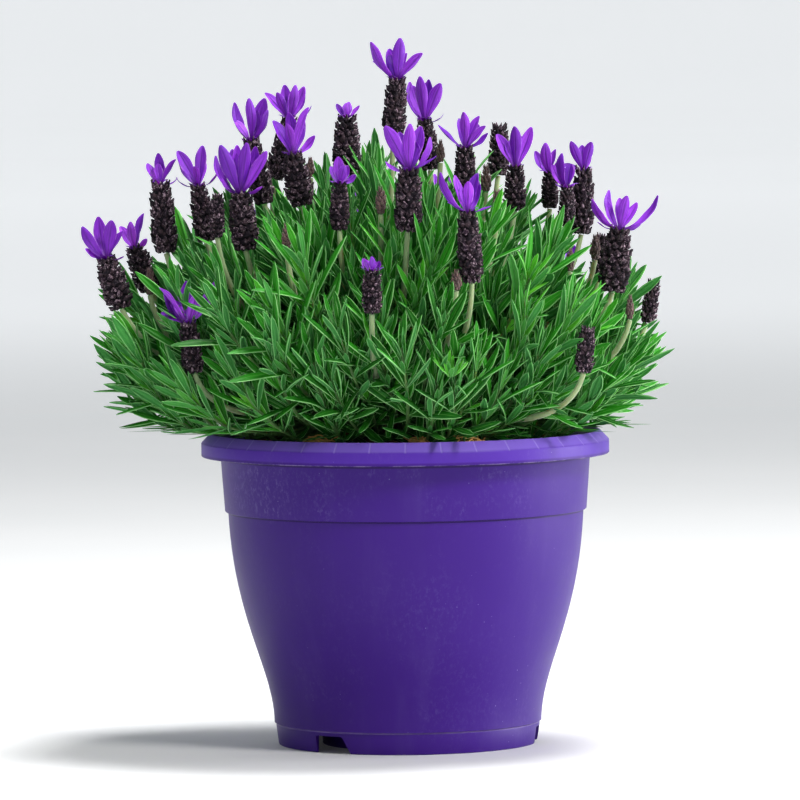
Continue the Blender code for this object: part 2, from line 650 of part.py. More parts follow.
class Branch:
    """A main stem in line with an arm of the crown, and what grows from it, as one closed mesh."""

    def __init__(self, number, direction, heads, joined, targets):
        self.name = f"leafy_branch_{number:02d}"
        self.direction = direction
        self.heads, self.joined, self.targets = heads, joined, targets
        self.pairs = []  # (opposite faces, stem direction, leaf scale, owner)
        self.tips = []  # (end face, direction, owner)
        self.across = direction.cross(Vector((0.3, 0.1, 1.0))).normalized()
        self.bm = bmesh.new()
        self.free = self.main_stem(self.first_block())

    def first_block(self):
        third = self.direction.cross(self.across)
        begin = crown_centre() + self.direction * (ARM_REACH + CLEARANCE)
        bmesh.ops.create_cube(self.bm, size=2.0)
        for vert in self.bm.verts:
            x, y, z = vert.co
            lift = (z + 1.0) * 0.5 * NODE_HEIGHT
            vert.co = begin + (self.across * x + third * y) * STEM_RADIUS + self.direction * lift
        self.bm.normal_update()
        return max(self.bm.faces, key=lambda face: face.normal.dot(self.direction))

    def main_stem(self, face):
        """Collars along the stem, whose faces are where shoots can grow."""
        wanted = len(self.heads) + len(self.joined) + len(self.targets)
        count = max(2, math.ceil(wanted / 4))
        start = ARM_REACH + 2.0 * NODE_HEIGHT
        free = []
        for i in range(count):
            reach = start + (MAIN_STEM_REACH - start) * (i + 1) / count
            for end in (reach - NODE_HEIGHT, reach):
                point = crown_centre() + self.direction * end
                face = extrude_to(
                    self.bm, face, point, self.direction, self.across, STEM_RADIUS, STEM_RADIUS
                )
            free += side_faces(face)
        self.bm.normal_update()
        return free + [face]

    def grow_shoot(self, face, end, space, owner, pairs):
        """A shoot with a collar for each pair of leaves. Returns its end face."""
        start, *points = shoot_path(face, end, pairs)
        across = face.normal.orthogonal()
        last = start
        for number, point in enumerate(points):
            along = (point - last).normalized()
            for place in (point - along * NODE_HEIGHT, point):
                face = extrude_to(self.bm, face, place, along, across, SHOOT_RADIUS, SHOOT_RADIUS)
            self.bm.normal_update()
            sides = side_faces(face)
            opposite = min(sides, key=lambda side: side.normal.dot(sides[0].normal))
            pair = [sides[0], opposite]
            if number % 2 == 0:
                pair = [side for side in sides if side not in pair]
            scale = 0.85 + 0.15 * math.sin(math.pi * number / pairs)
            self.pairs.append((pair, along, scale, owner))
            last = point
        space.add([start] + points, SHOOT_RADIUS, owner)
        return face

    def grow_stalk(self, face, end, axis):
        last = face.calc_center_median()
        for point in stalk_path(last, end, axis):
            face = extrude_to(
                self.bm, face, point, point - last, axis.orthogonal(), STALK_RADIUS, STALK_RADIUS
            )
            last = point
        return face

    def grow_barrel(self, face, head):
        """A flower head that is part of the branch's own mesh."""
        side = head.axis.orthogonal()
        for share, radius in barrel_radii(head.radius, JOINED_RANKS) + [(1.0, 0.4 * head.radius)]:
            point = head.foot + head.axis * head.length * share
            face = extrude_to(self.bm, face, point, head.axis, side, 0.8 * radius, 0.8 * radius)

    def grow_heads(self, space):
        """The shoots and stalks that carry flower heads, which stand first in line for room."""
        for head in self.heads + self.joined:
            end = shoot_end_below(head)
            face, _ = pick_face(self.free, end, space, PAIRS_UNDER_HEAD, head.name)
            self.free.remove(face)
            face = self.grow_shoot(face, end, space, head.name, PAIRS_UNDER_HEAD)
            gap = 0.0 if head in self.joined else CLEARANCE
            face = self.grow_stalk(face, head.foot - head.axis * gap, head.axis)
            if head in self.joined:
                self.grow_barrel(face, head)

    def grow_targets(self, space):
        """The leafy shoots with no head, each where there is a clear way."""
        for number, target in enumerate(self.targets):
            reach = FOLIAGE_RADIUS - LEAF_LENGTH * chance.uniform(*TIP_SHARE)
            end = crown_centre() + target * reach
            owner = f"{self.name}_{number}"
            if not self.free or not above_pot(end, 2.0 * SHOOT_RADIUS):
                continue
            face, room = pick_face(self.free, end, space, PAIRS_ON_SHOOT, owner)
            if room > 0.0:
                self.free.remove(face)
                face = self.grow_shoot(face, end, space, owner, PAIRS_ON_SHOOT)
                self.tips.append((face, target, owner))

    def grow_leaves(self, space):
        """Leaves come last, each only where it clears all that stands."""
        self.bm.normal_update()
        for pair, along, scale, owner in self.pairs:
            for face in pair:
                out = (face.normal - along * along.dot(face.normal)).normalized()
                spread = math.radians(LEAF_SPREAD + chance.uniform(*SPREAD_RANGE))
                direction = (along * math.cos(spread) + out * math.sin(spread)).normalized()
                across = along.cross(out).normalized()
                line = leaf_line(face, direction, across, LEAF_LENGTH * scale * chance.uniform(0.85, 1.1))
                grow_where_clear(self.bm, face, line, across, LEAF_WIDTH * scale, space, owner)
        for face, direction, owner in self.tips:
            across = direction.orthogonal().normalized()
            line = leaf_line(face, direction, across, TIP_LEAF * LEAF_LENGTH)
            grow_where_clear(self.bm, face, line, across, TIP_LEAF * LEAF_WIDTH, space, owner)


def plan_branches():
    """Every head and leafy shoot goes to the branch that points most nearly at it."""
    directions = branch_headings()
    carried = [([], [], []) for _ in directions]

    def nearest(direction):
        return carried[max(range(BRANCH_COUNT), key=lambda i: directions[i].dot(direction))]

    for flower in FLOWERS:
        head = Head(*flower)
        nearest((head.foot - crown_centre()).normalized())[0].append(head)
    for bearing, rise, beyond, length, width in JOINED_HEADS:
        nearest(heading(bearing, rise))[1].append(Head(bearing, rise, beyond, 0.0, length, width))
    for direction in dome_headings(SHOOT_COUNT, LOWEST_SHOOT, 0.0):
        nearest(direction)[2].append(direction)
    return [Branch(number, d, *carried[number - 1]) for number, d in enumerate(directions, 1)]


def keep_clear(space, head):
    """Keeps the room that a head, its petals and the upper part of its stalk take."""
    space.add([head.foot, head.top], head.radius + HEAD_ROOM, head.name)
    if head.petals:
        over = head.top + head.axis * head.petals
        space.add([head.top, over], max(head.spread, head.radius) + HEAD_ROOM, head.name)
    start = shoot_end_below(head)
    space.add([start] + stalk_path(start, head.foot, head.axis), STALK_RADIUS, head.name)


def main():
    clear_scene()
    plant = new_collection("potted_lavender")
    cutters = new_collection("cutters")
    make_pot(plant, cutters)
    make_soil(plant, cutters)
    make_crown(plant)

    space = Space()
    spike_material = new_material("dark_scales", SPIKE_DARK, 0.8)
    petal_material = new_material("violet_bracts", PETAL_VIOLET, 0.55)
    for number, flower in enumerate(FLOWERS, 1):
        head = Head(*flower)
        make_spike(f"flower_spike_{number:02d}", head, spike_material, plant)
        if head.petals:
            make_petals(f"flower_petals_{number:02d}", head, petal_material, plant)

    branches = plan_branches()
    for branch in branches:
        stem = [crown_centre() + branch.direction * reach for reach in (ARM_REACH, MAIN_STEM_REACH)]
        space.add(stem, STEM_RADIUS, "main stems")
        for head in branch.heads + branch.joined:
            keep_clear(space, head)
    for grow in (Branch.grow_heads, Branch.grow_targets, Branch.grow_leaves):
        for branch in branches:
            grow(branch, space)
    leaf_material = new_material("green_leaves", LEAF_GREEN, 0.6)
    for branch in branches:
        add_object(branch.name, branch.bm, leaf_material, plant)


main()
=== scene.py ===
# Potted lavender: the looks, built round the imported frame.
import math
import random

import bmesh
import bpy
import numpy as np
from mathutils import Matrix, Vector


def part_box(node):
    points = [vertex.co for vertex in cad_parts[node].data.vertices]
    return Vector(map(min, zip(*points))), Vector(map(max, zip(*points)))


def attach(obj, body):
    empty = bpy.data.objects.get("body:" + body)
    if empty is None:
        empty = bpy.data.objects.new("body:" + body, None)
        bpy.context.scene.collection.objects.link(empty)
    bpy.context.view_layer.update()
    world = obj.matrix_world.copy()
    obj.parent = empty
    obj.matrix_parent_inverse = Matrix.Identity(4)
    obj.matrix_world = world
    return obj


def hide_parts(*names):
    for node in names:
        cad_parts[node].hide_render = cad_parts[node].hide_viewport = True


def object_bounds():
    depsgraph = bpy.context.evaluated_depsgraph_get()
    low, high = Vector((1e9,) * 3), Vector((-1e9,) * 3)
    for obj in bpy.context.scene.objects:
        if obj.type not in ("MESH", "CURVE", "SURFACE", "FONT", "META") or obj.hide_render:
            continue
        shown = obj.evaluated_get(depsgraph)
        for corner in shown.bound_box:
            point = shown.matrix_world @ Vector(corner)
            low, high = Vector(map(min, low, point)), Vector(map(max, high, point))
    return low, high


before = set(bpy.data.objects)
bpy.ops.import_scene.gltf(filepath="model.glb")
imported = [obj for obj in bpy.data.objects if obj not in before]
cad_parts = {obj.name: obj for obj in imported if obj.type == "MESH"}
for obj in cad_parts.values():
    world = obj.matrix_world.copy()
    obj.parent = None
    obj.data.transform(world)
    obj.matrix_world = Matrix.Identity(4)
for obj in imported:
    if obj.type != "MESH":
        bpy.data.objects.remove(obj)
cadLow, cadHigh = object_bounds()
mm = 0.001
up = Vector((0.0, 0.0, 1.0))
seed = random.Random(20)


# Selecting, shaping and joining


def deselectAll():
    bpy.ops.object.select_all(action="DESELECT")


def choose(piece):
    # the one piece that is selected and active
    deselectAll()
    piece.select_set(True)
    bpy.context.view_layer.objects.active = piece


def startEdit():
    bpy.ops.object.mode_set(mode="EDIT")


def endEdit():
    bpy.ops.object.mode_set(mode="OBJECT")


def pick(test, kind="verts"):
    # selects what passes the test, in edit mode
    mesh = bpy.context.edit_object.data
    bpy.ops.mesh.select_mode(type={"verts": "VERT", "edges": "EDGE"}[kind])
    work = bmesh.from_edit_mesh(mesh)
    for part in getattr(work, kind):
        part.select = test(part)
    work.select_flush_mode()
    bmesh.update_edit_mesh(mesh)


def applyModifiers(piece):
    choose(piece)
    for modifier in list(piece.modifiers):
        bpy.ops.object.modifier_apply(modifier=modifier.name)


def applyPlace(piece):
    choose(piece)
    bpy.ops.object.transform_apply(location=True, rotation=True, scale=True)


def smooth(piece, angle=None):
    choose(piece)
    if angle is None:
        bpy.ops.object.shade_smooth()
    else:
        bpy.ops.object.shade_smooth_by_angle(angle=math.radians(angle))


def asMesh(piece):
    choose(piece)
    bpy.ops.object.convert(target="MESH")
    return bpy.context.active_object


def coat(piece, material):
    piece.data.materials.clear()
    piece.data.materials.append(material)


def setTint(mesh, value):
    # one number for each copy, which its material reads for its own shade
    layer = mesh.attributes.get("tint") or mesh.attributes.new("tint", "FLOAT", "POINT")
    layer.data.foreach_set("value", np.full(len(mesh.vertices), value, np.float32))


def shiftTint(mesh, value):
    layer = mesh.attributes["tint"]
    held = np.empty(len(mesh.vertices), np.float32)
    layer.data.foreach_get("value", held)
    layer.data.foreach_set("value", held + np.float32(value))


def copyOf(template, matrix, tint=None):
    mesh = template.data.copy()
    mesh.transform(matrix)
    if tint is not None:
        setTint(mesh, tint)
    piece = bpy.data.objects.new(template.name, mesh)
    bpy.context.scene.collection.objects.link(piece)
    return piece


def joined(pieces, name):
    deselectAll()
    for piece in pieces:
        piece.select_set(True)
    bpy.context.view_layer.objects.active = pieces[0]
    if len(pieces) > 1:
        bpy.ops.object.join()
    pieces[0].name = name
    pieces[0].data.name = name
    return pieces[0]


def discard(*pieces):
    for piece in pieces:
        bpy.data.objects.remove(piece, do_unlink=True)


def finishPiece(piece, slot, *replaced):
    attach(piece, "root")
    if replaced:
        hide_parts(*replaced)


def aim(place, along, toward, roll=0.0, size=(1.0, 1.0, 1.0)):
    # a matrix that puts +Z along a direction, with +X as near as it goes to another
    z = along.normalized()
    x = toward - z * toward.dot(z)
    if x.length < 1e-6:
        x = z.orthogonal()
    x.normalize()
    y = z.cross(x)
    turn = Matrix((x, y, z)).transposed().to_4x4()
    return Matrix.Translation(place) @ turn @ Matrix.Rotation(roll, 4, "Z") @ Matrix.Diagonal((*size, 1.0))


def heading(bearing, rise):
    # degrees from the front to the right, and above level
    b, e = math.radians(bearing), math.radians(rise)
    return Vector((math.cos(e) * math.sin(b), -math.cos(e) * math.cos(b), math.sin(e)))


def tube(name, lines, material, sides=3):
    # one curve with a spline for each line of (point, radius)
    curve = bpy.data.curves.new(name, "CURVE")
    curve.dimensions = "3D"
    curve.bevel_depth = 1.0
    curve.bevel_resolution = sides
    curve.use_fill_caps = True
    for line in lines:
        spline = curve.splines.new("POLY")
        spline.points.add(len(line) - 1)
        for point, (place, radius) in zip(spline.points, line):
            point.co = (*place, 1.0)
            point.radius = radius
    piece = bpy.data.objects.new(name, curve)
    bpy.context.scene.collection.objects.link(piece)
    piece = asMesh(piece)
    weld = piece.modifiers.new("weld", "WELD")
    weld.merge_threshold = 0.00001
    applyModifiers(piece)
    coat(piece, material)
    smooth(piece, 50)
    return piece


def bend(start, pull, end, count):
    # points along a bent line, its ends included
    found = []
    for i in range(count + 1):
        t = i / count
        found.append(start * (1 - t) ** 2 + pull * 2 * t * (1 - t) + end * t * t)
    return found


# Materials


class Wire:
    # a socket that can be added, subtracted and multiplied
    def __init__(self, finish, socket):
        self.finish, self.socket = finish, socket

    def __add__(self, other):
        return self.finish.sum("ADD", self, other)

    def __sub__(self, other):
        return self.finish.sum("SUBTRACT", self, other)

    def __mul__(self, other):
        return self.finish.sum("MULTIPLY", self, other)

    def __rsub__(self, other):
        return self.finish.sum("SUBTRACT", other, self)

    __radd__ = __add__
    __rmul__ = __mul__


class Finish:
    def __init__(self, name, **constants):
        self.material = bpy.data.materials.new(name)
        self.material.use_nodes = True
        self.tree = self.material.node_tree
        self.shader = self.tree.nodes["Principled BSDF"]
        for socket, value in constants.items():
            self.shader.inputs[socket.replace("_", " ")].default_value = value

    def feed(self, socket, value):
        if isinstance(value, Wire):
            self.tree.links.new(value.socket, socket)
        else:
            socket.default_value = value

    def node(self, kind, settings=None, sockets=None, output=0):
        node = self.tree.nodes.new("ShaderNode" + kind)
        for key, value in (settings or {}).items():
            if key == "stops":
                self.setStops(node.color_ramp, value)
            else:
                setattr(node, key, value)
        for key, value in (sockets or {}).items():
            self.feed(node.inputs[key], value)
        return Wire(self, node.outputs[output])

    def setStops(self, ramp, stops):
        while len(ramp.elements) < len(stops):
            ramp.elements.new(0.5)
        for element, (place, colour) in zip(ramp.elements, stops):
            element.position = place
            element.color = (*colour, 1.0)

    def sum(self, operation, first, second):
        return self.node("Math", {"operation": operation}, {0: first, 1: second})

    def clamp(self, value):
        return self.node("Clamp", None, {"Value": value})

    def step(self, value, low, high):
        # 0 below low, 1 above high, smooth between
        sockets = {"Value": value, "From Min": low, "From Max": high}
        return self.node("MapRange", {"interpolation_type": "SMOOTHSTEP"}, sockets)

    def line(self, value, place, full, none):
        # 1 within full of a place, 0 beyond none
        return 1.0 - self.step(self.magnitude(value - place), full, none)

    def magnitude(self, value):
        return self.node("Math", {"operation": "ABSOLUTE"}, {0: value})

    def mix(self, share, first, second):
        settings = {"data_type": "RGBA"}
        return self.node("Mix", settings, {0: share, 6: self.colour(first), 7: self.colour(second)}, 2)

    def colour(self, value):
        return value if isinstance(value, Wire) else (*value, 1.0)

    def place(self):
        return self.node("TexCoord", None, None, "Object")

    def axes(self, vector):
        return [self.node("SeparateXYZ", None, {0: vector}, i) for i in range(3)]

    def noise(self, vector, scale, detail=3.0, roughness=0.5):
        sockets = {"Vector": vector, "Scale": scale, "Detail": detail, "Roughness": roughness}
        return self.node("TexNoise", None, sockets)

    def cells(self, vector, scale):
        return self.node("TexVoronoi", {"feature": "F1"}, {"Vector": vector, "Scale": scale}, "Distance")

    def stretched(self, vector, scale):
        return self.node("Mapping", None, {"Vector": vector, "Scale": scale})

    def attribute(self, name):
        return self.node("Attribute", {"attribute_name": name}, None, "Fac")

    def uv(self, name):
        return self.node("UVMap", {"uv_map": name}, None, "UV")

    def bump(self, height, strength, distance):
        sockets = {"Height": height, "Strength": strength, "Distance": distance}
        self.set("Normal", self.node("Bump", None, sockets))

    def set(self, socket, value):
        self.feed(self.shader.inputs[socket], value)


def grainFinish(name, stretch, noise, dark, light, bump, **constants):
    # lengthways grain between two colours; noise is scale, detail and roughness, bump is strength and depth
    f = Finish(name, **constants)
    grain = f.noise(f.stretched(f.place(), (1.0, 1.0, stretch)), *noise)
    f.set("Base Color", f.mix(grain, dark, light))
    f.bump(grain, *bump)
    return f.material


# Pot: turned from rings, with the foot notches and drain holes cut afterwards


pot = {
    "columns": 144,
    "wall": 1.4 * mm,
    "lipHeight": 6.3 * mm,
    "lipChamfer": 4.4 * mm,
    "bandWidth": 86.2 * mm,  # radius just under the lip
    "bandTaper": 1.9 * mm,
    "bandHeight": 26.1 * mm,
    "bandStep": 1.5 * mm,
    "footWidth": 61.5 * mm,
    "footTaper": 1.0 * mm,
    "footHeight": 9.8 * mm,
    "groove": 0.5 * mm,
    "pad": 40.0 * mm,
    "recess": 8.6 * mm,
    "notches": 3,
    "notchBearing": -37.0,
    "notchTop": 15.0 * mm,
    "notchBottom": 19.0 * mm,
    "notchHeight": 8.0 * mm,
    "drains": 6,
    "drainRadius": 4.0 * mm,
}
potLow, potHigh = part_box("pot")
potHeight = potHigh[2]
lipRadius = 0.5 * (potHigh[0] - potLow[0])
lipTop = potHeight - pot["lipChamfer"]
lipBottom = lipTop - pot["lipHeight"]
bandBottom = lipBottom - pot["bandHeight"]


def potPlastic():
    f = Finish("purplePlastic", IOR=1.45, Specular_IOR_Level=0.2)
    place = f.place()
    x, y, z = f.axes(place)
    cloudy = f.noise(place, 9.0, 4.0, 0.6)
    streaks = f.noise(f.stretched(place, (1.0, 1.0, 0.12)), 55.0, 4.0, 0.6)
    colour = f.mix(cloudy, (0.03, 0.0045, 0.152), (0.041, 0.0075, 0.19))
    # painted highlight: the lip and its chamfer are painted lighter, standing in for the light that falls on
    # them
    colour = f.mix(f.step(z, lipBottom + 0.0008, lipBottom + 0.002) * 0.55, colour, (0.085, 0.028, 0.37))
    colour = f.mix(f.step(z, lipTop - 0.0004, lipTop + 0.0008) * 0.7, colour, (0.15, 0.09, 0.42))
    # dust and rubbed patches, mostly on the band and under the lip
    onBand = f.step(z, bandBottom - 0.001, bandBottom + 0.004)
    onBand = onBand * (1.0 - f.step(z, lipBottom - 0.004, lipBottom))
    grain = f.step(f.noise(f.stretched(place, (1.0, 1.0, 0.6)), 620.0, 4.0, 0.8), 0.48, 0.68)
    dust = f.step(f.noise(place, 22.0, 5.0, 0.7), 0.4, 0.72)
    haze = f.clamp(dust * grain * (0.12 + 0.34 * onBand) + 0.06 * f.step(streaks, 0.5, 0.8))
    colour = f.mix(haze, colour, (0.2, 0.16, 0.38))
    # tiny pale specks, in drifts
    uneven = f.noise(place, 1500.0, 2.0) * 0.08
    specks = 1.0 - f.step(f.cells(place, 300.0) + uneven, 0.07, 0.12)
    some = f.step(f.noise(place, 30.0, 3.0, 0.6), 0.5, 0.64) * (0.45 + 0.55 * f.step(x, -0.02, 0.05))
    fewer = f.step(f.noise(place, 190.0, 2.0), 0.46, 0.58)
    colour = f.mix(f.clamp(specks * some * fewer * 0.75), colour, (0.5, 0.45, 0.72))
    # worn pale lines along the lip's lower edge and the foot's groove
    broken = f.step(f.noise(place, 120.0, 4.0, 0.75), 0.42, 0.66)
    lipLine = f.line(z, lipBottom + 0.0001, 0.0001, 0.0005) * broken
    grooveLine = f.line(z, pot["footHeight"] + 0.0001, 0.0001, 0.0006) * (0.6 + 0.4 * broken)
    colour = f.mix(f.clamp(lipLine * 0.5 + grooveLine * 0.4), colour, (0.42, 0.33, 0.62))
    # painted shade: dark lines in the corner under the band's step and just under the lip, where shadow falls
    corner = f.line(z, bandBottom - 0.0002, 0.0002, 0.0006) + f.line(z, lipBottom - 0.0006, 0.0004, 0.0012)
    colour = f.mix(f.clamp(corner) * 0.75, colour, (0.012, 0.003, 0.05))
    # moulding lines across the chamfer
    round36 = f.node("Math", {"operation": "ARCTAN2"}, {0: y, 1: x}) * (36.0 / (2.0 * math.pi))
    turned = f.node("Math", {"operation": "PINGPONG"}, {0: round36, 1: 0.5})
    onChamfer = f.step(z, lipTop - 0.0005, lipTop + 0.0004)
    ribs = (1.0 - f.step(turned, 0.012, 0.035)) * onChamfer
    colour = f.mix(ribs * 0.25, colour, (0.3, 0.24, 0.56))
    f.set("Base Color", colour)
    rubbed = f.noise(place, 70.0, 5.0, 0.65)
    f.set("Roughness", f.clamp(0.4 + rubbed * 0.1 + haze * 0.3))
    fine = f.noise(place, 900.0, 2.0)
    f.bump(fine * 0.04 + rubbed * 0.2 - ribs * 0.8 + streaks * 0.15, 0.35, 0.0004)
    return f.material


def wallCurve(inset, count):
    # the bowed wall from the band's step down to the foot
    top = Vector((pot["bandWidth"] - pot["bandTaper"] - pot["bandStep"] - inset, bandBottom))
    low = Vector((pot["footWidth"] + 0.8 * mm - inset, pot["footHeight"] + 0.6 * mm))
    fall = top.y - low.y
    pulls = (top, top + Vector((-2.4 * mm, -0.53 * fall)), low + Vector((0.6 * mm, 0.26 * fall)), low)
    found = []
    for i in range(count + 1):
        t = i / count
        weights = ((1 - t) ** 3, 3 * t * (1 - t) ** 2, 3 * t * t * (1 - t), t**3)
        found.append(sum((w * p for w, p in zip(weights, pulls)), Vector((0.0, 0.0))))
    return found


def potRings():
    # (radius, height) from the middle of the base's underside, out, up the outside, over and down inside
    wall, foot = pot["wall"], pot["footWidth"] - pot["footTaper"]
    rings = [(pot["pad"] - 0.5 * mm, 0.0), (pot["pad"], 0.5 * mm), (pot["pad"], pot["recess"])]
    rings += [(foot - wall, pot["recess"]), (foot - wall, 0.3 * mm), (foot - wall + 0.3 * mm, 0.0)]
    rings += [(foot - 0.6 * mm, 0.0), (foot - 0.2 * mm, 0.25 * mm), (foot, 0.9 * mm)]
    rings += [(pot["footWidth"], pot["footHeight"] - 0.9 * mm)]
    rings += [(pot["footWidth"] - 0.15 * mm, pot["footHeight"] - 0.4 * mm)]
    rings += [(pot["footWidth"] + 0.3 * mm - pot["groove"], pot["footHeight"])]
    rings += [tuple(point) for point in reversed(wallCurve(0.0, 26))]
    band = pot["bandWidth"] - pot["bandTaper"]
    rings += [(band - 0.5 * mm, bandBottom + 0.1 * mm), (band - 0.12 * mm, bandBottom + 0.4 * mm)]
    rings += [(band, bandBottom + 1.0 * mm), (0.5 * (band + pot["bandWidth"]), lipBottom - 12 * mm)]
    rings += [(pot["bandWidth"] - 0.2 * mm, lipBottom - 1.0 * mm), (pot["bandWidth"], lipBottom)]
    rings += [(pot["bandWidth"] + 0.6 * mm, lipTop - 1.2 * mm)]
    rings += [(lipRadius - wall, lipTop - 1.8 * mm), (lipRadius - wall, lipBottom + 0.2 * mm)]
    rings += [(lipRadius - wall + 0.3 * mm, lipBottom), (lipRadius - 0.35 * mm, lipBottom)]
    rings += [(lipRadius, lipBottom + 0.35 * mm), (lipRadius, lipTop - 0.4 * mm)]
    rings += [(lipRadius - 0.2 * mm, lipTop + 0.1 * mm)]
    top = lipRadius - pot["lipChamfer"]
    rings += [(top + 0.3 * mm, potHeight - 0.25 * mm), (top, potHeight), (top - wall + 0.5 * mm, potHeight)]
    rings += [(top - wall, potHeight - 0.5 * mm), (pot["bandWidth"] - wall, lipTop - 2.0 * mm)]
    rings += [(band - wall, bandBottom + 1.0 * mm)]
    rings += [tuple(point) for point in wallCurve(wall, 12)[1:]]
    floor = pot["recess"] + wall
    rings += [(foot - wall, floor), (pot["pad"] - wall, floor), (pot["pad"] - wall, wall)]
    return rings


def turnRings(name, rings, columns):
    # a circle extruded and resized from ring to ring, with both ends filled
    deselectAll()
    radius, height = rings[0]
    bpy.ops.mesh.primitive_circle_add(
        vertices=columns, radius=radius, fill_type="TRIFAN", location=(0.0, 0.0, height)
    )
    piece = bpy.context.active_object
    applyPlace(piece)
    startEdit()
    pick(lambda edge: edge.is_boundary, "edges")
    for (oldRadius, oldHeight), (newRadius, newHeight) in zip(rings, rings[1:]):
        bpy.ops.mesh.extrude_edges_move(TRANSFORM_OT_translate={"value": (0.0, 0.0, newHeight - oldHeight)})
        share = newRadius / oldRadius
        bpy.ops.transform.resize(value=(share, share, 1.0), center_override=(0.0, 0.0, newHeight))
    bpy.ops.mesh.edge_face_add()
    bpy.ops.mesh.poke()
    bpy.ops.mesh.select_all(action="SELECT")
    bpy.ops.mesh.normals_make_consistent(inside=False)
    endEdit()
    piece.name = name
    return piece


def cutWith(piece, cutter):
    cut = piece.modifiers.new("cut", "BOOLEAN")
    cut.object = cutter
    cut.operation = "DIFFERENCE"
    applyModifiers(piece)
    discard(cutter)


def makePot():
    piece = turnRings("nurseryPot", potRings(), pot["columns"])
    foot = pot["footWidth"]
    for i in range(pot["notches"]):
        bearing = pot["notchBearing"] + 360.0 * i / pot["notches"]
        deselectAll()
        size = (pot["notchTop"], foot - pot["pad"], 2.0 * pot["notchHeight"])
        bpy.ops.mesh.primitive_cube_add(size=1.0, scale=size)
        cutter = bpy.context.active_object
        applyPlace(cutter)
        startEdit()
        pick(lambda vert: vert.co.x > 0 and vert.co.z < 0)
        slant = 2.0 * (pot["notchBottom"] - pot["notchTop"])
        bpy.ops.transform.translate(value=(slant, 0.0, 0.0))
        pick(
            lambda edge: all(v.co.z > 0 for v in edge.verts)
            and abs(edge.verts[0].co.y - edge.verts[1].co.y) > mm,
            "edges",
        )
        bpy.ops.mesh.bevel(offset=0.9 * mm, segments=3)
        endEdit()
        # its length then runs outwards, from past the recess's middle to past the foot
        cutter.matrix_world = aim(heading(bearing, 0.0) * (foot - 2.0 * mm), up, heading(bearing + 90.0, 0.0))
        applyPlace(cutter)
        cutWith(piece, cutter)
    ring = 0.5 * (pot["pad"] + foot - pot["footTaper"] - pot["wall"])
    for i in range(pot["drains"]):
        deselectAll()
        spot = heading(360.0 * (i + 0.5) / pot["drains"], 0.0) * ring + up * pot["recess"]
        bpy.ops.mesh.primitive_cylinder_add(
            vertices=24, radius=pot["drainRadius"], depth=8.0 * mm, location=spot
        )
        cutter = bpy.context.active_object
        applyPlace(cutter)
        cutWith(piece, cutter)
    coat(piece, potPlastic())
    smooth(piece, 32)
    finishPiece(piece, "pot_plastic", "pot")
    print("pot made")


makePot()


# Soil with chips of bark and threads of coir


soil = {
    "rings": 40,
    "columns": 96,
    "gap": 0.4 * mm,
    "below": 6.0 * mm,  # from the rim down to its edge
    "lump": 2.6 * mm,
    "chips": 260,
    "chipSpans": ((3.0, 9.0), (2.0, 5.0), (0.8, 2.2)),  # length, width and thickness in mm
    "threads": 120,
    "threadRadius": 0.22 * mm,
    "tufts": (-31, 5, 23),  # bearings in degrees
    "tuftThreads": 26,
    "tuftRadius": 0.3 * mm,
}
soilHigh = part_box("soil")[1]
soilEdge = potHeight - soil["below"]


def soilFinish():
    f = Finish("peat", Roughness=0.95)
    place = f.place()
    grain = f.noise(place, 420.0, 6.0, 0.7)
    patches = f.noise(place, 60.0, 4.0, 0.6)
    colour = f.node(
        "ValToRGB",
        {
            "stops": (
                (0.3, (0.008, 0.005, 0.003)),
                (0.55, (0.035, 0.021, 0.012)),
                (0.75, (0.11, 0.065, 0.033)),
            )
        },
        {"Fac": grain * 0.7 + patches * 0.3},
    )
    f.set("Base Color", colour)
    f.bump(grain + patches * 0.6, 0.9, 0.0015)
    return f.material


def chipFinish():
    f = Finish("barkBits", Roughness=0.85)
    place = f.place()
    tint = f.attribute("tint")
    fibres = f.noise(f.stretched(place, (1.0, 0.35, 1.0)), 700.0, 4.0, 0.6)
    colour = f.mix(f.clamp(tint), (0.05, 0.027, 0.014), (0.62, 0.34, 0.1))
    colour = f.mix(fibres * 0.35, colour, (0.03, 0.017, 0.01))
    f.set("Base Color", colour)
    f.bump(fibres, 0.6, 0.0004)
    return f.material


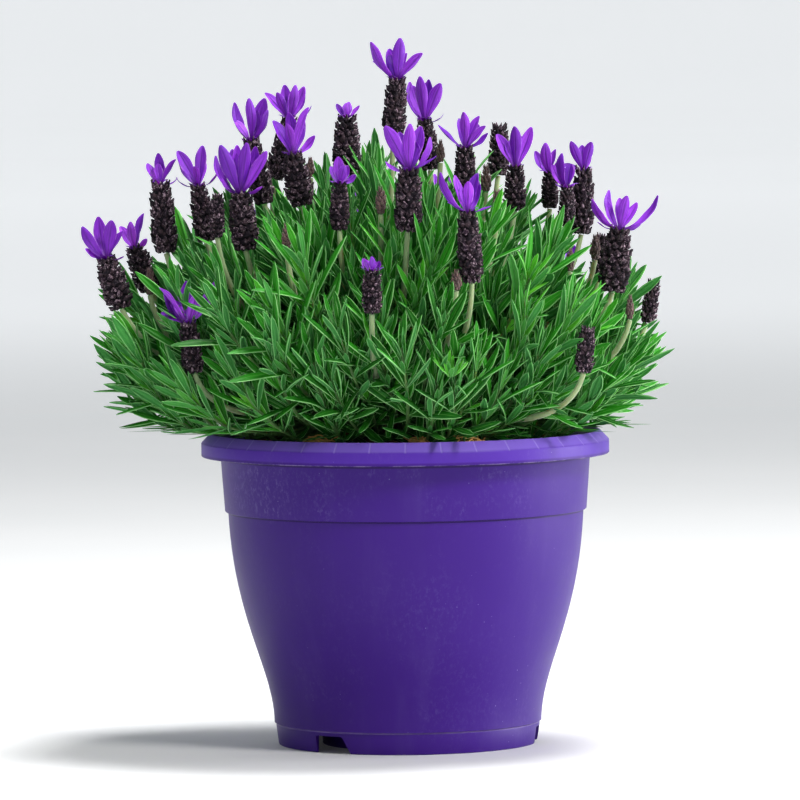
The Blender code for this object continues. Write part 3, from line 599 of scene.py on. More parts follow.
def makeSoil():
    top = pot["bandWidth"] - pot["wall"] - soil["gap"] - 0.8 * mm
    low = wallCurve(pot["wall"] + soil["gap"], 8)
    floor = pot["recess"] + pot["wall"] + soil["gap"]
    rings = [(0.3 * mm, soilHigh[2])]
    for i in range(1, soil["rings"] + 1):
        share = i / soil["rings"]
        crown = (soilHigh[2] - soilEdge) * (1.0 - share**1.6)
        rings.append((top * share, soilEdge + crown))
    rings += [tuple(point) for point in low[:-1]]
    rings += [(pot["pad"] - pot["wall"] - soil["gap"], floor)]
    rings += [(pot["pad"] - pot["wall"] - soil["gap"], pot["wall"] + soil["gap"])]
    body = turnRings("pottingSoil", rings, soil["columns"])
    for vert in body.data.vertices:
        spread = math.hypot(vert.co.x, vert.co.y)
        if vert.co.z > soilEdge - mm and spread < top - mm:
            lump = math.sin(vert.co.x * 310.0 + 1.3) * math.sin(vert.co.y * 270.0) * 0.35
            vert.co.z += soil["lump"] * (lump + seed.uniform(-0.28, 0.28)) - 0.6 * mm
    coat(body, soilFinish())
    smooth(body)
    finishPiece(body, "potting_soil", "soil")

    material = chipFinish()
    deselectAll()
    bpy.ops.mesh.primitive_cube_add(size=1.0)
    chip = bpy.context.active_object
    startEdit()
    bpy.ops.mesh.subdivide(number_cuts=1)
    pick(lambda vert: abs(vert.co.x) < 0.01 and vert.co.z > 0)
    bpy.ops.transform.translate(value=(0.0, 0.08, 0.22))
    pick(lambda vert: vert.co.x > 0.4 and vert.co.y > 0)
    bpy.ops.transform.resize(value=(0.8, 0.5, 0.6), center_override=(0.0, 0.0, 0.0))
    pick(lambda vert: vert.co.x < -0.4 and vert.co.y < 0.1)
    bpy.ops.transform.resize(value=(1.1, 0.6, 0.7), center_override=(0.0, 0.0, 0.0))
    endEdit()
    bits = []
    for _ in range(soil["chips"]):
        spread = (top - 3.0 * mm) * math.sqrt(seed.uniform(0.05, 1.0))
        bearing = seed.uniform(0.0, 360.0)
        place = heading(bearing, 0.0) * spread
        place.z = soilEdge + (soilHigh[2] - soilEdge) * (1.0 - (spread / top) ** 1.6)
        place.z += seed.uniform(0.0, 1.2) * mm
        size = [seed.uniform(*span) * mm for span in soil["chipSpans"]]
        tilt = (up + heading(seed.uniform(0.0, 360.0), 0.0) * seed.uniform(0.0, 0.5)).normalized()
        matrix = aim(place, tilt, heading(seed.uniform(0.0, 360.0), 0.0), 0.0, size)
        bits.append(copyOf(chip, matrix, 0.6 * seed.random() ** 2))
    discard(chip)
    chips = joined(bits, "barkChips")
    coat(chips, material)

    lines = []
    for _ in range(soil["threads"]):
        spread = (top - 6.0 * mm) * math.sqrt(seed.uniform(0.2, 1.0))
        start = heading(seed.uniform(0.0, 360.0), 0.0) * spread
        start.z = soilEdge + seed.uniform(0.8, 2.5) * mm
        run = heading(seed.uniform(0.0, 360.0), seed.uniform(-5.0, 12.0)) * seed.uniform(6.0, 15.0) * mm
        end = start + run
        if math.hypot(end.x, end.y) > top - 3.0 * mm:
            end = start - run
            end.z = start.z
        pull = 0.5 * (start + end) + Vector((seed.uniform(-3, 3), seed.uniform(-3, 3), 2.5)) * mm
        lines.append([(point, soil["threadRadius"]) for point in bend(start, pull, end, 5)])
    # tufts of coir that show over the rim
    for bearing in soil["tufts"]:
        for _ in range(soil["tuftThreads"]):
            start = heading(bearing + seed.uniform(-6.0, 6.0), 0.0) * (top - seed.uniform(3.0, 12.0) * mm)
            start.z = potHeight - seed.uniform(0.5, 5.0) * mm
            end = heading(bearing + seed.uniform(-6.0, 6.0), 0.0) * (top - seed.uniform(3.0, 12.0) * mm)
            end.z = potHeight - seed.uniform(-2.0, 2.5) * mm
            pull = 0.5 * (start + end) + up * seed.uniform(0.0, 3.5) * mm
            lines.append([(point, soil["tuftRadius"]) for point in bend(start, pull, end, 5)])
    threads = tube("coirThreads", lines, material, 1)
    setTint(threads.data, 0.9)
    bits = joined([chips, threads], "barkAndCoir")
    finishPiece(bits, "potting_soil")
    print("soil made")


makeSoil()


# The plant: where its flower heads stand, as the frame has them


plant = {
    "crown": Vector((-8.0, 0.0, 145.0)) * mm,
    "lean": 0.7,  # degrees to the right
    "foliageRadius": 130.0 * mm,
    "domeMiddle": Vector((-12.0, -1.0, 152.0)) * mm,
    "domeReach": Vector((129.0, 121.0, 116.0)) * mm,
}
crown = plant["crown"]


def pointsOf(node):
    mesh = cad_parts[node].data
    flat = np.empty(len(mesh.vertices) * 3)
    mesh.vertices.foreach_get("co", flat)
    return flat.reshape(-1, 3)


plantLean = Matrix.Rotation(math.radians(plant["lean"]), 3, "Y")


class Head:
    # a flower head's foot, axis, length and radius, and its petals' height
    def __init__(self, foot, axis, length, radius, petals=0.0):
        self.foot = crown + plantLean @ (foot - crown)
        self.axis = (plantLean @ axis).normalized()
        self.length, self.radius, self.petals = length, radius, petals
        self.top = self.foot + self.axis * length


def readHeads():
    found = []
    for name in sorted(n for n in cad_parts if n.startswith("flower_spike")):
        points = pointsOf(name)
        middle = points.mean(axis=0)
        axis = Vector(np.linalg.svd(points - middle, full_matrices=False)[2][0])
        axis = axis if axis.z > 0 else -axis
        along = (points - middle) @ np.array(axis)
        across = np.linalg.norm(points - middle - np.outer(along, axis), axis=1)
        foot = Vector(middle) + axis * along.min()
        head = Head(foot, axis, along.max() - along.min(), across.max())
        head.node = name
        head.petalNode = name.replace("spike", "petals")
        if head.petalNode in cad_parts:
            points = pointsOf(head.petalNode) - np.array(foot + axis * head.length)
            head.petals = (points @ np.array(axis)).max()
        found.append(head)
    return found


heads = readHeads()

# heads that are part of a branch in the frame: bearing, rise, beyond the foliage, length, width, petals
joinedHeads = (
    (-86, 30, -2, 12, 5, 0),
    (-62, 46, -2, 20, 7, 0),
    (-33, 46, -8, 11, 5, 0),
    (-3, 58, -8, 12, 5, 0),
    (18, 35, -8, 9, 5, 0),
    (50, 57, -10, 13, 5, 0),
    (105, 53, 0, 17, 8, 12),
    (84, 40, -4, 11, 5, 0),
    (-150, 28, 0, 26, 11, 17),
    (-172, 30, 2, 28, 12, 19),
    (165, 38, -8, 25, 11, 18),
    (140, 20, 0, 27, 11, 18),
    (-125, 10, -6, 24, 11, 16),
    (118, 14, -8, 24, 10, 0),
    # small buds low among the leaves, which the frame leaves out
    (-88, 73, -6, 9, 4, 0),
    (96, 79, -2, 10, 4, 0),
    (113, 66, -8, 12, 5, 0),
    (94, 49, -3, 19, 8, 14),
    (62, 39, -8, 10, 4, 0),
    (74, 25, -2, 11, 4, 0),
)
smallHeads = []
for bearing, rise, beyond, length, width, petals in joinedHeads:
    foot = crown + heading(bearing, rise) * (plant["foliageRadius"] + beyond * mm)
    lean = Vector((0.0, -0.1 * math.cos(math.radians(rise)) * math.cos(math.radians(bearing)), 1.0))
    sizes = (length * mm, 0.5 * width * mm, petals * mm)
    smallHeads.append(Head(foot, lean.normalized(), *sizes))


# Leaves


leaf = {
    "length": 28.0 * mm,
    "width": 4.4 * mm,
    "thick": 0.35 * mm,
    # (place along, width share) from the stem to the tip
    "outline": ((0.0, 0.34), (0.2, 0.62), (0.44, 0.92), (0.68, 1.0), (0.88, 0.64), (1.0, 0.1)),
    "groove": (-0.55, 0.34, -0.15, 0.34, -0.55),  # across the blade, in mm
    "curls": (-0.1, -0.02, 0.06, 0.14, 0.26),  # how far each kind's tip bends back, as a share of its length
}


def leafFinish():
    f = Finish("greenLeaf", Specular_IOR_Level=0.14, Subsurface_Weight=0.06, Subsurface_Scale=0.002)
    f.shader.inputs["Subsurface Radius"].default_value = (0.5, 1.0, 0.2)
    u, v, _ = f.axes(f.uv("leafMap"))
    tint = f.attribute("tint")
    place = f.place()
    under = f.step(v, 1.0, 1.02)
    along = v - under
    fromMiddle = f.magnitude(u - 0.5) * 2.0
    deep = f.mix(f.clamp(tint), (0.001, 0.046, 0.002), (0.024, 0.25, 0.01))
    mottled = f.mix(f.noise(place, 500.0, 3.0), deep, (0.04, 0.34, 0.02))
    colour = f.mix(0.3, deep, mottled)
    # young leaves and leaf bases are yellower
    young = f.clamp((tint - 0.75) * 1.8)
    colour = f.mix(young, colour, (0.12, 0.48, 0.035))
    colour = f.mix((1.0 - f.step(along, 0.0, 0.2)) * 0.4, colour, (0.09, 0.28, 0.04))
    margin = f.step(fromMiddle, 0.78, 0.98)
    colour = f.mix(margin * 0.8, colour, (0.36, 0.72, 0.28))
    rib = (1.0 - f.step(fromMiddle, 0.02, 0.13)) * (1.0 - f.step(along, 0.7, 0.95))
    colour = f.mix(rib * 0.35, colour, (0.14, 0.4, 0.08))
    colour = f.mix(under * 0.6, colour, (0.06, 0.24, 0.07))
    f.set("Base Color", colour)
    f.set("Roughness", f.clamp(0.38 + 0.3 * under + 0.15 * f.noise(place, 300.0, 2.0)))
    down = f.noise(place, 2500.0, 2.0)
    f.bump(down * 0.3 - rib * 0.8, 0.3, 0.0003)
    return f.material


def stemFinish():
    noise, dark, light = (600.0, 4.0, 0.6), (0.05, 0.15, 0.03), (0.15, 0.29, 0.09)
    constants = {"Roughness": 0.6, "Subsurface_Weight": 0.05}
    return grainFinish("greenStem", 0.25, noise, dark, light, (0.4, 0.0003), **constants)


def stalkFinish():
    noise, dark, light = (900.0, 4.0, 0.6), (0.17, 0.25, 0.1), (0.36, 0.46, 0.24)
    constants = {"Roughness": 0.65, "Subsurface_Weight": 0.08, "Sheen_Weight": 0.3}
    return grainFinish("paleStalk", 0.15, noise, dark, light, (0.4, 0.0003), **constants)


def flatBlade(name, shape, mapName):
    # a blade of 5 columns along +Y, as wide at each row as its outline says
    outline, middle = shape["outline"], (0.0, 0.0, 0.0)
    rows = len(outline) - 1
    deselectAll()
    bpy.ops.mesh.primitive_grid_add(x_subdivisions=4, y_subdivisions=rows, size=1.0, calc_uvs=True)
    piece = bpy.context.active_object
    piece.name = name
    piece.data.uv_layers[0].name = mapName
    startEdit()
    for row, (along, width) in enumerate(outline):
        y = row / rows - 0.5
        pick(lambda vert, y=y: abs(vert.co.y - y) < 0.01)
        bpy.ops.transform.translate(value=(0.0, (along - 0.5) - y, 0.0))
        bpy.ops.transform.resize(value=(width, 1.0, 1.0), center_override=middle)
    bpy.ops.mesh.select_all(action="SELECT")
    bpy.ops.transform.resize(value=(shape["width"], shape["length"], 1.0), center_override=middle)
    bpy.ops.transform.translate(value=(0.0, 0.5 * shape["length"], 0.0))
    endEdit()
    return piece


def standUp(piece, material):
    # from along +Y to along +Z, with what looked up now looking along +X
    piece.data.transform(Matrix(((0, 0, 1, 0), (1, 0, 0, 0), (0, 1, 0, 0), (0, 0, 0, 1))))
    coat(piece, material)


def makeLeaf(name, curl, material):
    # a blade along +Z whose upper face looks along +X
    piece = flatBlade(name, leaf, "leafMap")
    for number, vert in enumerate(piece.data.vertices):
        row, column = divmod(number, 5)
        along, width = leaf["outline"][row]
        vert.co.z = leaf["groove"][column] * mm * width - curl * leaf["length"] * along**2.2
    solid = piece.modifiers.new("thickness", "SOLIDIFY")
    solid.thickness = leaf["thick"]
    solid.offset = -1.0
    applyModifiers(piece)
    # the lower face's map is one leaf further along, so that the finish can tell it
    uvs = piece.data.uv_layers["leafMap"]
    for face in piece.data.polygons:
        if face.normal.z < -0.2:
            for loop in face.loop_indices:
                uvs.data[loop].uv.y += 1.02
    standUp(piece, material)
    smooth(piece, 60)
    return piece


leafMaterial = leafFinish()
stemMaterial = stemFinish()
stalkMaterial = stalkFinish()
leafKinds = [makeLeaf(f"leaf{i}", curl, leafMaterial) for i, curl in enumerate(leaf["curls"])]


# Sprigs: a stem with crossed pairs of leaves, small leaves in their axils and an upright brush at the tip


sprig = {
    "hooks": (0.06, 0.12, 0.18, 0.24, 0.3, 0.36, 0.42, 0.5, 0.58),  # how far each kind bends up
    "length": 56.0 * mm,
    # for each pair from the lowest: place along, leaf size, degrees off the stem
    "pairs": (
        (0.08, 0.75, 60),
        (0.26, 0.9, 50),
        (0.44, 1.04, 42),
        (0.6, 1.06, 35),
        (0.75, 1.0, 28),
        (0.87, 0.9, 20),
        (0.95, 0.7, 13),
        (1.0, 0.45, 6),
    ),
    "axils": (1, 2, 3, 4, 5),
    "stem": 0.95 * mm,
}


def sprigPoint(share, hook):
    # the stem bends towards +X
    length = sprig["length"]
    return Vector((hook * length * share**2, 0.0, length * share * (1.0 - 0.25 * hook * share)))


def sprigAlong(share, hook):
    return (sprigPoint(share + 0.01, hook) - sprigPoint(share - 0.01, hook)).normalized()


def addLeaf(place, along, out, spread, size, tint, wide=1.0):
    spread = math.radians(spread)
    direction = (along * math.cos(spread) + out * math.sin(spread)).normalized()
    face = along * math.sin(spread) - out * math.cos(spread)
    twist = seed.uniform(-0.5, 0.5)
    kind = seed.choices(leafKinds, (2, 3, 4, 3, 1))[0]
    sizes = (size, size * wide * seed.uniform(0.85, 1.15), size * seed.uniform(0.9, 1.1))
    return copyOf(kind, aim(place, direction, face, twist, sizes), tint)


def makeSprig(name, hook):
    roll = seed.uniform(0.0, math.pi)
    parts = []
    for number, (share, size, spread) in enumerate(sprig["pairs"]):
        share = min(1.0, share + seed.uniform(-0.02, 0.02))
        place, along = sprigPoint(share, hook), sprigAlong(share, hook)
        side = roll + number * 0.5 * math.pi + seed.uniform(-0.2, 0.2)
        tint = 0.1 + 0.6 * share + seed.uniform(-0.2, 0.2)
        for half in (0.0, math.pi):
            out = Vector((math.cos(side + half), math.sin(side + half), 0.0))
            out = (out - along * out.dot(along)).normalized()
            lean = spread + seed.uniform(-10.0, 8.0)
            start = place + out * 0.5 * mm
            parts.append(addLeaf(start, along, out, lean, size * seed.uniform(0.85, 1.12), tint))
            if number in sprig["axils"]:
                for turn in (-0.5, 0.5):
                    small = Matrix.Rotation(turn, 3, along) @ out
                    young = size * seed.uniform(0.32, 0.62)
                    lean = spread * seed.uniform(0.3, 0.6)
                    parts.append(addLeaf(start, along, small, lean, young, tint + 0.4, 1.1))
    stem = [(sprigPoint(i / 8, hook), sprig["stem"] * (1.0 - 0.5 * i / 8)) for i in range(9)]
    stem = tube("sprigStem", [stem], stemMaterial, 1)
    setTint(stem.data, 0.5)
    return joined(parts + [stem], name)


sprigKinds = [makeSprig(f"sprig{i}", hook) for i, hook in enumerate(sprig["hooks"])]
print("sprigs modelled,", len(sprigKinds[0].data.polygons), "faces each")


# Foliage: sprigs all over the dome and a second layer inside it, each on a stem from the crown


foliage = {
    "outer": 205,
    "inner": 95,
    "innerDrop": 30.0 * mm,
    "lowest": -4.0,
    "uplift": (0.1, 0.42),
    "headGap": 8.0 * mm,
    "clear": 8.0 * mm,  # kept free of sprigs either side of a head, as seen from the front
    "wideClear": 11.0 * mm,
    # how much stalk shows below a head, and below those that stand clearest
    "usualStalk": 14.0 * mm,
    "bareStalks": {"13": 22.0 * mm, "15": 30.0 * mm, "21": 46.0 * mm, "22": 20.0 * mm},
    "stalkLeaves": 0.62,  # where a stalk's pair of leaves stands
    "stemStart": 24.0 * mm,  # from the crown's middle
    "stalkStart": 40.0 * mm,
    # the lowest that leaves come: heights above the rim's top at two radii
    "floorAt": (70 * mm, 84 * mm),
    "floorHeight": (-7 * mm, mm),
    "rimInside": 74 * mm,
    "rimGap": 2.0 * mm,  # between the rim and a stem that crosses it
}
branchNames = sorted(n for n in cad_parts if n.startswith("leafy_branch"))
branchHeadings = [(Vector(pointsOf(n).mean(axis=0)) - crown).normalized() for n in branchNames]


def domeHeadings(count, lowest):
    low = math.sin(math.radians(lowest))
    golden = 180.0 * (3.0 - math.sqrt(5.0))
    for i in range(count):
        rise = math.degrees(math.asin(low + (1.0 - low) * (i + 0.5) / count))
        yield heading(golden * i + seed.uniform(-6, 6), min(89.0, rise + seed.uniform(-3, 3)))


def gapBetween(a, b, c, d):
    # least distance between the points of one line and of another
    best = 1.0
    for i in range(7):
        p = a.lerp(b, i / 6)
        for j in range(7):
            best = min(best, (p - c.lerp(d, j / 6)).length)
    return best


def hidesHead(base, tip):
    # whether a sprig stands before a head or its stalk, as seen from the front
    for head in heads:
        bare = foliage["bareStalks"].get(head.node[-2:])
        below, clear = foliage["usualStalk"], foliage["clear"]
        if bare:
            below, clear = bare, foliage["wideClear"]
        low = head.foot - (0.8 * head.axis + 0.2 * head.toward).normalized() * below
        high = head.top + head.axis * 0.7 * head.petals
        for i in range(7):
            p = base.lerp(tip, 0.1 + 0.9 * i / 6)
            share = (p.z - low.z) / (high.z - low.z)
            if 0.0 < share < 1.0:
                q = low.lerp(high, share)
                near = abs(p.x - q.x) < (head.radius if p.z > head.foot.z else 0.0) + clear
                if near and p.y < q.y + 4.0 * mm:
                    return True
    return False


def placeSprig(direction, drop):
    # a sprig's kind, its matrix, base and axis, or nothing where there is no room
    size = seed.uniform(0.86, 1.1)
    lift = seed.uniform(*foliage["uplift"]) * (1.0 - direction.z)
    bendy = min(0.99, max(0.0, 0.95 - direction.z + seed.uniform(-0.25, 0.2)))
    kind = int(bendy * len(sprigKinds))
    hook = sprig["hooks"][kind]
    # low down the leaves keep within the rim at front and back
    low = max(0.0, 1.0 - direction.z / 0.5)
    reach = plant["domeReach"] * Vector((1.0 - 0.07 * low, 1.0 - 0.24 * low, 1.0))
    for extra in (0.0, 12.0 * mm, 24.0 * mm, 36.0 * mm):
        tip = plant["domeMiddle"] + direction * reach
        axis = ((tip - crown).normalized() + up * (lift - 0.5 * hook)).normalized()
        tip = tip - (tip - crown).normalized() * (drop + extra)
        turn = aim(Vector(), axis, up + direction * 0.01, seed.uniform(-0.4, 0.4), (size, size, size))
        base = tip - turn @ sprigPoint(1.0, hook)
        gaps = [gapBetween(base, tip, head.foot, head.top) for head in heads + smallHeads]
        if min(gaps) > foliage["headGap"] and not hidesHead(base, tip):
            return kind, Matrix.Translation(base) @ turn, base, axis
    return None


def pulledIn(piece):
    # slid back inside the frame's box; what would hang over the rim or lie in the soil bends level above it
    flat = np.empty(len(piece.data.vertices) * 3)
    piece.data.vertices.foreach_get("co", flat)
    points = flat.reshape(-1, 3)
    low, high = points.min(axis=0), points.max(axis=0)
    slide = [max(0.0, cadLow[i] - low[i]) - max(0.0, high[i] - cadHigh[i]) for i in range(3)]
    slide[2] += 0.5 * max(0.0, potHeight - low[2])
    points += slide
    spread = np.hypot(points[:, 0], points[:, 1])
    floor = potHeight + np.interp(spread, foliage["floorAt"], foliage["floorHeight"])
    soft = 3.0 * mm
    points[:, 2] = floor + soft * np.logaddexp(0.0, (points[:, 2] - floor) / soft)
    piece.data.vertices.foreach_set("co", points.ravel())
    return Vector(slide)


def clearRim(line):
    # a stem's line lifted over the rim
    for point in line:
        if math.hypot(point.x, point.y) > foliage["rimInside"]:
            point.z = max(point.z, potHeight + foliage["rimGap"])
    return line


def nearestBranch(direction):
    return max(range(len(branchNames)), key=lambda i: branchHeadings[i].dot(direction))


for head in heads + smallHeads:
    head.toward = (head.foot - crown).normalized()

leafy = [[] for _ in branchNames]
stems = [[] for _ in branchNames]
for count, drop, lowest in (
    (foliage["outer"], 0.0, foliage["lowest"]),
    (foliage["inner"], foliage["innerDrop"], 12.0),
):
    for direction in domeHeadings(count, lowest):
        bearing = math.degrees(math.atan2(direction.x, -direction.y))
        if direction.z < 0.2 and min(abs(bearing - bare) for bare in soil["tufts"]) < 6.0:
            continue
        found = placeSprig(direction, drop + seed.uniform(-5.0, 7.0) * mm)
        if found is None:
            continue
        kind, matrix, base, axis = found
        piece = copyOf(sprigKinds[kind], matrix)
        shiftTint(piece.data, seed.uniform(-0.4, 0.25) - (0.2 if drop else 0.0))
        base = base + pulledIn(piece)
        branch = nearestBranch((base - crown).normalized())
        leafy[branch].append(piece)
        start = crown + branchHeadings[branch] * foliage["stemStart"]
        pull = start.lerp(base, 0.6) - axis * 5.0 * mm
        line = clearRim(bend(start, pull, base, 8))
        stems[branch].append([(p, (1.5 - 0.6 * i / 8) * mm) for i, p in enumerate(line)])


def stalkLine(head):
    # from among the leaves up to the head's foot, arriving nearly in line with it
    start = crown + head.toward * foliage["stalkStart"]
    along = (0.8 * head.axis + 0.2 * head.toward).normalized()
    pull = head.foot - along * (0.3 + 0.3 * head.toward.z) * (head.foot - start).length
    return clearRim(bend(start, pull, head.foot - head.axis * 0.3 * mm, 14))


stalks = [[] for _ in branchNames]
for head in heads + smallHeads:
    branch = nearestBranch(head.toward)
    line = stalkLine(head)
    stalks[branch].append([(p, (1.6 - 0.4 * i / 14) * mm) for i, p in enumerate(line)])
    spot = int(foliage["stalkLeaves"] * 14)
    along = (line[spot + 1] - line[spot]).normalized()
    side = along.cross(Vector((0.0, 1.0, 0.1))).normalized()
    side = Matrix.Rotation(seed.uniform(-0.6, 0.6), 3, along) @ side
    for out in (side, -side):
        leafy[branch].append(addLeaf(line[spot] + out * 0.6 * mm, along, out, 42, 0.8, 0.6))

# pale, twisted young leaves low at the front
cluster = {
    "place": Vector((21.0, -101.0, 176.0)) * mm,
    "leaves": 18,
    "spread": (5.0, 65.0),  # degrees off the stem
    "size": (0.28, 0.5),
}
branch = nearestBranch((cluster["place"] - crown).normalized())
for number in range(cluster["leaves"]):
    out = heading(number * 137.5, 0.0)
    start = cluster["place"] + out * 1.2 * mm
    along = Vector((0.1 + seed.uniform(-0.3, 0.3), -0.35, 1.0)).normalized()
    spread, size = seed.uniform(*cluster["spread"]), seed.uniform(*cluster["size"])
    leafy[branch].append(addLeaf(start, along, out, spread, size, 1.0, 1.4))

for number, name in enumerate(branchNames):
    label = name[-2:]
    piece = joined(leafy[number], f"leaves_{label}")
    finishPiece(piece, "green_leaves", name)
    piece = tube(f"shootStems_{label}", stems[number], stemMaterial, 2)
    finishPiece(piece, "green_leaves")
    if stalks[number]:
        piece = tube(f"flowerStalks_{label}", stalks[number], stalkMaterial, 2)
        finishPiece(piece, "green_leaves")
discard(*sprigKinds, *leafKinds)
print("foliage made:", sum(len(part) for part in leafy), "sprigs and leaves")


# The woody crown


def barkFinish():
    noise, dark, light = (350.0, 6.0, 0.65), (0.05, 0.035, 0.02), (0.24, 0.17, 0.1)
    return grainFinish("oldBark", 0.3, noise, dark, light, (0.9, 0.001), Roughness=0.85)


def makeCrown():
    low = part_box("woody_crown")[0][2]
    middle = Vector((crown.x, crown.y, low))
    lines = [[(middle + up * i * 4.0 * mm, r * mm) for i, r in enumerate((7.0, 8.0, 7.5, 6.0, 3.0))]]
    for direction in branchHeadings:
        start = crown - up * 3.0 * mm
        end = crown + direction * 26.0 * mm
        line = bend(start, start.lerp(end, 0.5) + up * 2.0 * mm, end, 8)
        lines.append([(p, (3.6 - 2.2 * i / 8) * mm) for i, p in enumerate(line)])
    piece = tube("woodyCrown", lines, barkFinish(), 4)
    finishPiece(piece, "old_wood", "woody_crown")
    print("crown made")


makeCrown()


# Flower heads: ranks of plump, pointed calyces round a core


spike = {
    "length": 28.0 * mm,
    "radius": 6.0 * mm,
    # radius shares from foot to top
    "outline": ((0.0, 0.55), (0.06, 0.9), (0.2, 1.04), (0.45, 1.0), (0.7, 0.9), (0.88, 0.77), (1.0, 0.5)),
    "budOutline": ((0.0, 0.55), (0.12, 0.9), (0.35, 1.0), (0.6, 0.85), (0.85, 0.5), (1.0, 0.12)),
}


def outlineAt(outline, share):
    for (a, ra), (b, rb) in zip(outline, outline[1:]):
        if share <= b:
            return ra + (rb - ra) * (share - a) / (b - a)
    return outline[-1][1]


def scaleFinish():
    f = Finish("darkScales", Roughness=0.75, Specular_IOR_Level=0.2)
    place = f.place()
    tint = f.attribute("tint")
    fuzz = f.noise(place, 900.0, 4.0, 0.7)
    blotch = f.noise(place, 420.0, 3.0, 0.6)
    colour = f.mix(f.clamp(tint), (0.003, 0.0015, 0.005), (0.018, 0.008, 0.018))
    colour = f.mix(f.step(blotch, 0.5, 0.62) * 0.55, colour, (0.075, 0.045, 0.055))
    colour = f.mix(f.step(fuzz, 0.52, 0.64) * f.clamp(tint * 1.4) * 0.8, colour, (0.5, 0.36, 0.44))
    f.set("Base Color", colour)
    f.bump(fuzz, 0.8, 0.0006)
    return f.material


def makeCalyx():
    # plump at its foot and drawn out to a point, along +Z
    deselectAll()
    bpy.ops.mesh.primitive_uv_sphere_add(segments=7, ring_count=6, radius=0.5, location=(0.0, 0.0, 0.5))
    piece = bpy.context.active_object
    applyPlace(piece)
    startEdit()
    pick(lambda vert: vert.co.z > 0.7)
    bpy.ops.transform.resize(value=(0.5, 0.5, 1.0), center_override=(0.0, 0.0, 0.7))
    bpy.ops.transform.translate(value=(0.1, 0.0, 0.12))
    pick(lambda vert: vert.co.z > 1.0)
    bpy.ops.transform.translate(value=(0.08, 0.0, 0.12))
    pick(lambda vert: vert.co.z < 0.3)
    bpy.ops.transform.resize(value=(0.8, 0.8, 1.0), center_override=(0.0, 0.0, 0.0))
    endEdit()
    smooth(piece, 60)
    return piece


def makeSpike(name, calyx, outline, ranks, around, flare, material):
    length, radius = spike["length"], spike["radius"]
    deselectAll()
    bpy.ops.mesh.primitive_uv_sphere_add(segments=14, ring_count=12, radius=1.0)
    core = bpy.context.active_object
    for vert in core.data.vertices:
        share = 0.5 * (vert.co.z + 1.0)
        flat = math.hypot(vert.co.x, vert.co.y)
        wide = 0.0 if flat < 1e-4 else 0.72 * radius * outlineAt(outline, share) * min(1.0, flat * 1.6) / flat
        vert.co = (vert.co.x * wide, vert.co.y * wide, 0.97 * length * share)
    setTint(core.data, 0.0)
    smooth(core)
    parts = [core]
    for rank in range(ranks):
        share = (rank + 0.3) / ranks
        wide = radius * outlineAt(outline, share)
        twist = 0.5 * (rank % 2)
        for step in range(around):
            turn = 2.0 * math.pi * (step + twist) / around + seed.uniform(-0.12, 0.12)
            out = Vector((math.cos(turn), math.sin(turn), 0.0))
            lean = flare * (1.0 - 0.6 * share) + seed.uniform(-0.15, 0.2)
            along = (up + out * lean).normalized()
            place = out * 0.66 * wide + up * length * (share - 0.04)
            tall = 1.1 * length / ranks * seed.uniform(0.8, 1.15)
            across = 2.0 * math.pi * wide / around * 0.88 * seed.uniform(0.85, 1.1)
            matrix = aim(place, along, out, seed.uniform(-0.2, 0.2), (across, across, tall))
            parts.append(copyOf(calyx, matrix, seed.random()))
            if seed.random() < 0.25:
                # a loose tip that stands out from the rest
                along = (up * 0.9 + out).normalized()
                thin = 0.11 * radius
                tip = aim(place + out * 0.2 * wide, along, out, 0.0, (thin, thin, 0.24 * radius))
                parts.append(copyOf(calyx, tip, 0.4 + 0.6 * seed.random()))
    piece = joined(parts, name)
    coat(piece, material)
    return piece


scaleMaterial = scaleFinish()
oneCalyx = makeCalyx()
spikeKinds = [
    makeSpike(f"spikeKind{i}", oneCalyx, spike["outline"], ranks, around, 0.5, scaleMaterial)
    for i, (ranks, around) in enumerate(((8, 8), (9, 8), (8, 9)))
]
print("spikes modelled,", len(spikeKinds[0].data.polygons), "faces each")


def placeSpike(name, kinds, head):
    wide = head.radius / spike["radius"] * 0.97
    size = (wide, wide, head.length / spike["length"])
    side = head.axis.orthogonal()
    matrix = aim(head.foot, head.axis, side, seed.uniform(0.0, 2.0 * math.pi), size)
    piece = copyOf(seed.choice(kinds), matrix)
    piece.name = name
    return piece


for number, head in enumerate(heads, 1):
    piece = placeSpike(f"spike_{number:02d}", spikeKinds, head)
    finishPiece(piece, "dark_scales", head.node)


# Buds: young heads, tight, pointed and reddish


def budFinish():
    f = Finish("youngScales", Roughness=0.7, Sheen_Weight=0.15)
    place = f.place()
    tint = f.attribute("tint")
    fuzz = f.noise(place, 1300.0, 3.0, 0.7)
    colour = f.mix(f.clamp(tint), (0.06, 0.028, 0.032), (0.15, 0.075, 0.07))
    colour = f.mix(f.step(fuzz, 0.52, 0.72) * 0.5, colour, (0.2, 0.24, 0.12))
    f.set("Base Color", colour)
    f.bump(fuzz, 0.7, 0.0005)
    return f.material


youngMaterial = budFinish()
budKinds = [
    makeSpike(f"budKind{i}", oneCalyx, spike["budOutline"], 6, around, 0.12, youngMaterial)
    for i, around in enumerate((6, 7))
]
for number, head in enumerate(smallHeads, 1):
    young = head.length < 16.0 * mm
    kinds = budKinds if young else spikeKinds
    piece = placeSpike(f"bud_{number:02d}" if young else f"lesserSpike_{number:02d}", kinds, head)
    finishPiece(piece, "dark_scales")
discard(*spikeKinds, *budKinds, oneCalyx)


# Petals: a tuft of bracts on each open head


